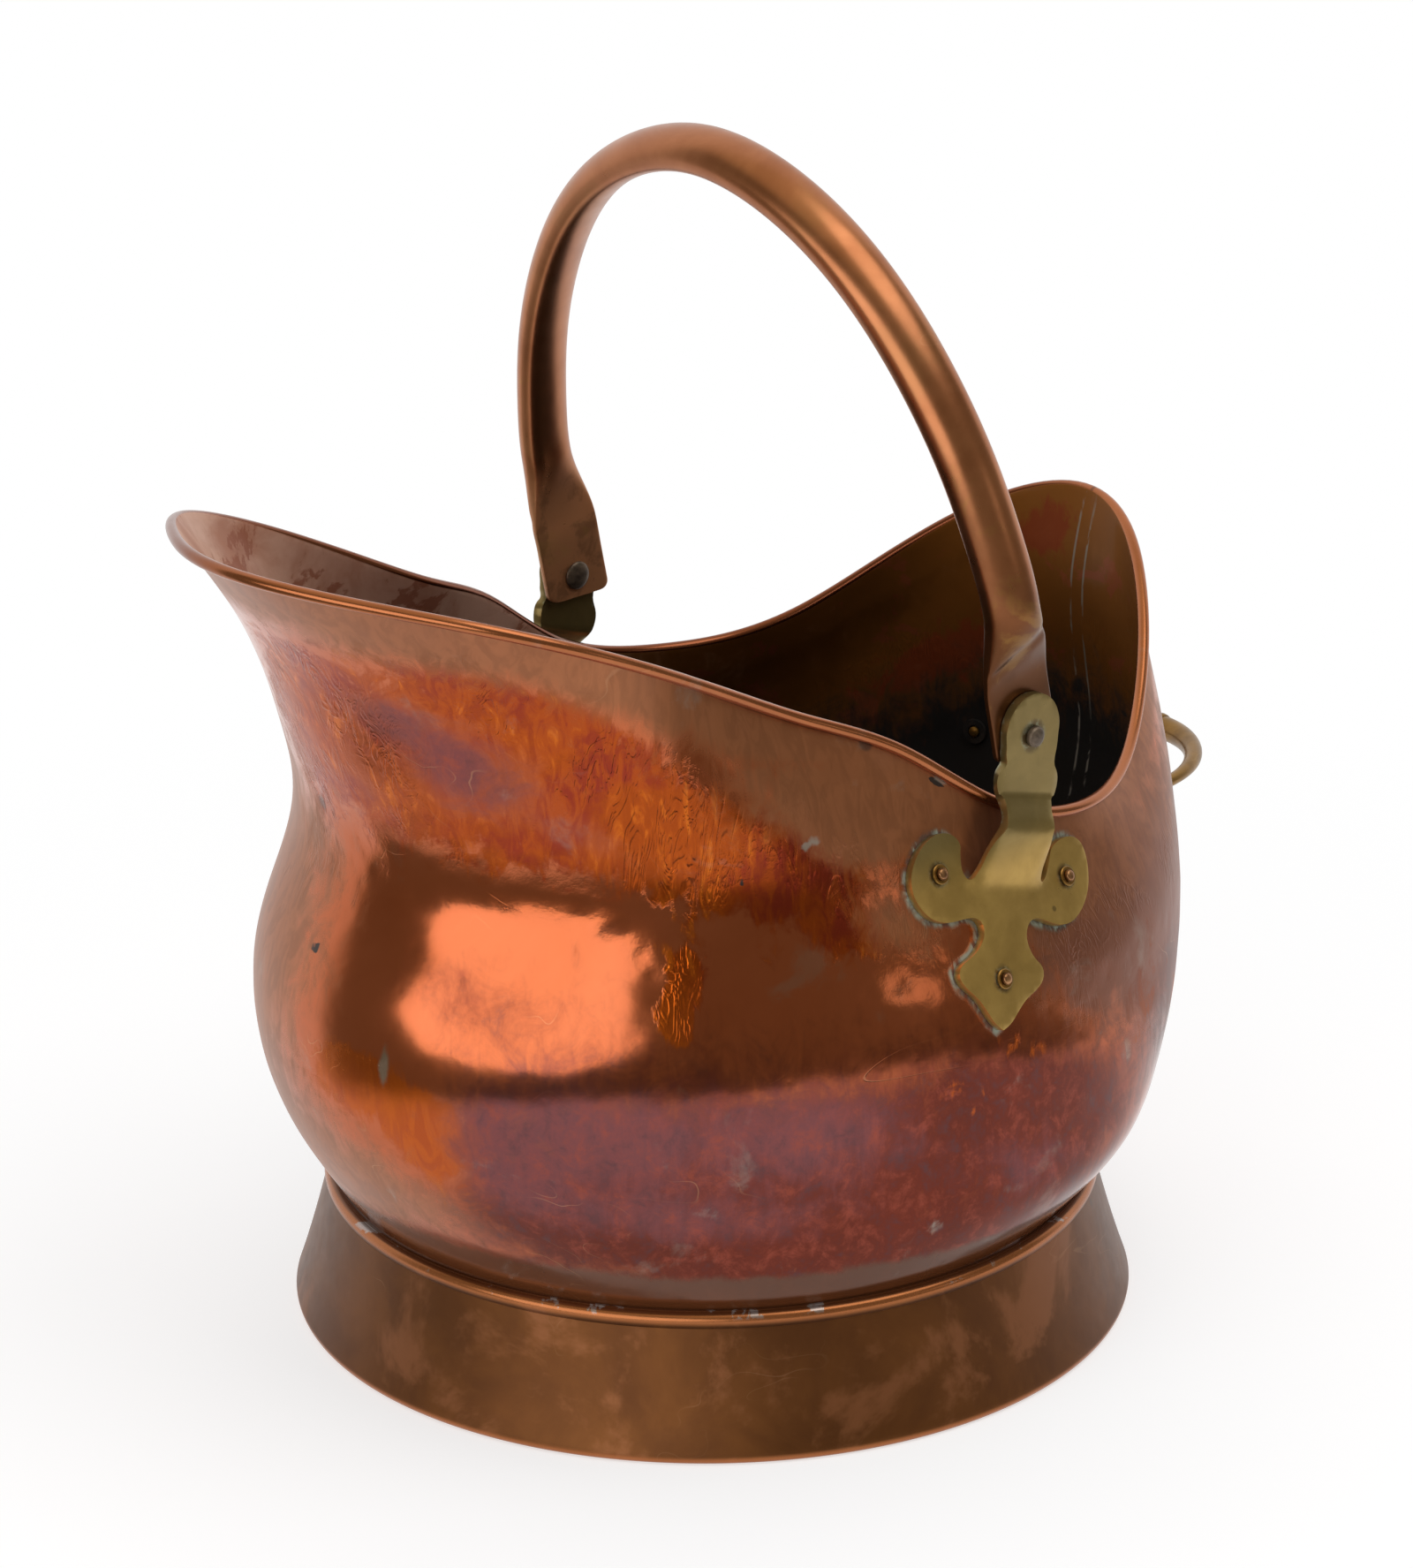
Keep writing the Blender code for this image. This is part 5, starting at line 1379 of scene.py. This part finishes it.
def reach(centre):
    """Distance on the floor from a centre: the square root of the sum of two squares."""
    wide, deep = plus(across, -centre[0]), plus(back, -centre[1])
    return maths(scaled(wide, wide, maths(deep, deep)), 0.5, way="POWER")


away = reach((0.0, FOOT_BACK))
ray = add(tree, "LightPath")
lit = add(tree, "BsdfDiffuse", {"Color": (0.50, 0.50, 0.50, 1.0)})
glow = add(tree, "Emission", {"Color": (1.0, 1.0, 1.0, 1.0), "Strength": 0.58})
near = wired("AddShader", {0: lit.outputs[0], 1: glow.outputs[0]})[0]
far = add(tree, "Emission", {"Color": (1.0, 1.0, 1.0, 1.0), "Strength": 1.0})
whiten = between(away, NEAR_RADIUS, FAR_RADIUS)
seen = wired("MixShader", {0: whiten, 1: near, 2: far.outputs[0]})[0]
clear = add(tree, "BsdfTransparent")
edge = between(reach(FLOOR_MIDDLE), FLOOR_FROM, FLOOR_TO)
other = wired("MixShader", {0: edge, 1: near, 2: clear.outputs[0]})[0]
both = wired("MixShader", {0: ray.outputs["Is Camera Ray"], 1: other, 2: seen})[0]
add(tree, "OutputMaterial", {"Surface": both})
floor.data.materials.append(paper)

# %% Room
PAPER_SIDE = (-0.829, 0.559, 0.0)
ROOM_DARK = 0.22
WARM = (1.0, 0.94, 0.70)
world = bpy.data.worlds.new("studio")
bpy.context.scene.world = world
world.use_nodes = True
tree = world.node_tree
tree.nodes.clear()
ray = add(tree, "LightPath")
look = add(tree, "TexCoord").outputs["Generated"]
behind = wired("VectorMath", {0: look, 1: PAPER_SIDE}, operation="DOT_PRODUCT")["Value"]
paper_share = between(behind, 0.20, 0.36)
room = wired("MapRange", {"Value": paper_share, "To Min": ROOM_DARK, "To Max": 1.0})[0]
height = axes(look)[2]
room = greater(maths(between(height, 0.45, 0.95), 0.75), room)
strength = greater(room, ray.outputs["Is Camera Ray"])
dim = maths(minus(1.0, paper_share), ray.outputs["Is Glossy Ray"])
tint = blend(dim, (1.0, 1.0, 1.0), WARM)
sky = wired("Background", {"Color": tint, "Strength": strength})[0]
add(tree, "OutputWorld", {"Surface": sky})

# %% Lamps
LAMPS_FACE = 0.15


def lamp(name, azimuth, elevation, distance, wide, tall, radiance):
    """A soft lamp that faces the bowl's middle. Its power is radiance times area times pi,
    and the area of an oval is a quarter of pi times its width times its height."""
    light = bpy.data.lights.new(name, "AREA")
    light.shape, light.size, light.size_y = "ELLIPSE", wide, tall
    light.energy = radiance * wide * tall / 4 * math.pi**2
    piece = into_scene(name, light)
    a, e = math.radians(azimuth), math.radians(elevation)
    away = Vector((math.sin(a) * math.cos(e), -math.cos(a) * math.cos(e), math.sin(e)))
    middle = Vector((0.0, FOOT_BACK, LAMPS_FACE))
    turn = away.to_track_quat("Z", "Y").to_matrix().to_4x4()
    piece.matrix_world = Matrix.Translation(middle + away * distance) @ turn
    piece.visible_camera = False


lamp("key_softbox", 17, 10, 1.2, 1.66, 0.78, 1.95)
lamp("top_softbox", 110, 60, 1.5, 1.20, 1.20, 1.7)
lamp("side_softbox", 115, 11, 1.2, 0.26, 0.20, 0.8)
print("lamps:", [light.name for light in bpy.data.lights])

# %% [markdown]
# ## The camera
# The photograph was taken from in front and to one side, a little above, with a long
# lens. The camera stands where the measured outline of the object fits that picture. The
# focal length was measured in pixels, so it is divided by the picture's width.

# %% Camera
AZIMUTH, ELEVATION, ROLL = math.radians(48.6), math.radians(19.2), math.radians(-0.6)
TARGET_HEIGHT, DISTANCE = 0.200, 1.6
SHIFT_RIGHT, SHIFT_DOWN = 0.0003, 0.0346
SENSOR, PICTURE_WIDTH, FOCAL_PIXELS = 36.0, 1600, 6031.4
right = np.array([math.cos(AZIMUTH), math.sin(AZIMUTH), 0.0])
level_back = np.array([math.sin(AZIMUTH), -math.cos(AZIMUTH), 0.0])
back = math.cos(ELEVATION) * level_back + math.sin(ELEVATION) * upward
above = np.cross(back, right)
target = np.array([0.0, FOOT_BACK, TARGET_HEIGHT])
stand = target + DISTANCE * back
ahead = unit(target - SHIFT_RIGHT * right - SHIFT_DOWN * above - stand)
level = unit(np.cross(ahead, upward))
raised = np.cross(level, ahead)
turned = math.cos(ROLL) * level + math.sin(ROLL) * raised
lifted = -math.sin(ROLL) * level + math.cos(ROLL) * raised
camera = into_scene("camera", bpy.data.cameras.new("camera"))
columns = zip(turned, lifted, -ahead, stand)
camera.matrix_world = Matrix([*(list(map(float, row)) for row in columns), (0.0, 0.0, 0.0, 1.0)])
camera.data.sensor_fit = "HORIZONTAL"
camera.data.sensor_width = SENSOR
camera.data.lens = FOCAL_PIXELS / PICTURE_WIDTH * SENSOR
camera.data.clip_start, camera.data.clip_end = 0.05, 50.0
bpy.context.scene.camera = camera
bpy.context.scene.view_settings.view_transform = "Standard"
print("camera at", np.round(stand, 4).tolist(), "with a lens of", round(camera.data.lens, 1), "mm")
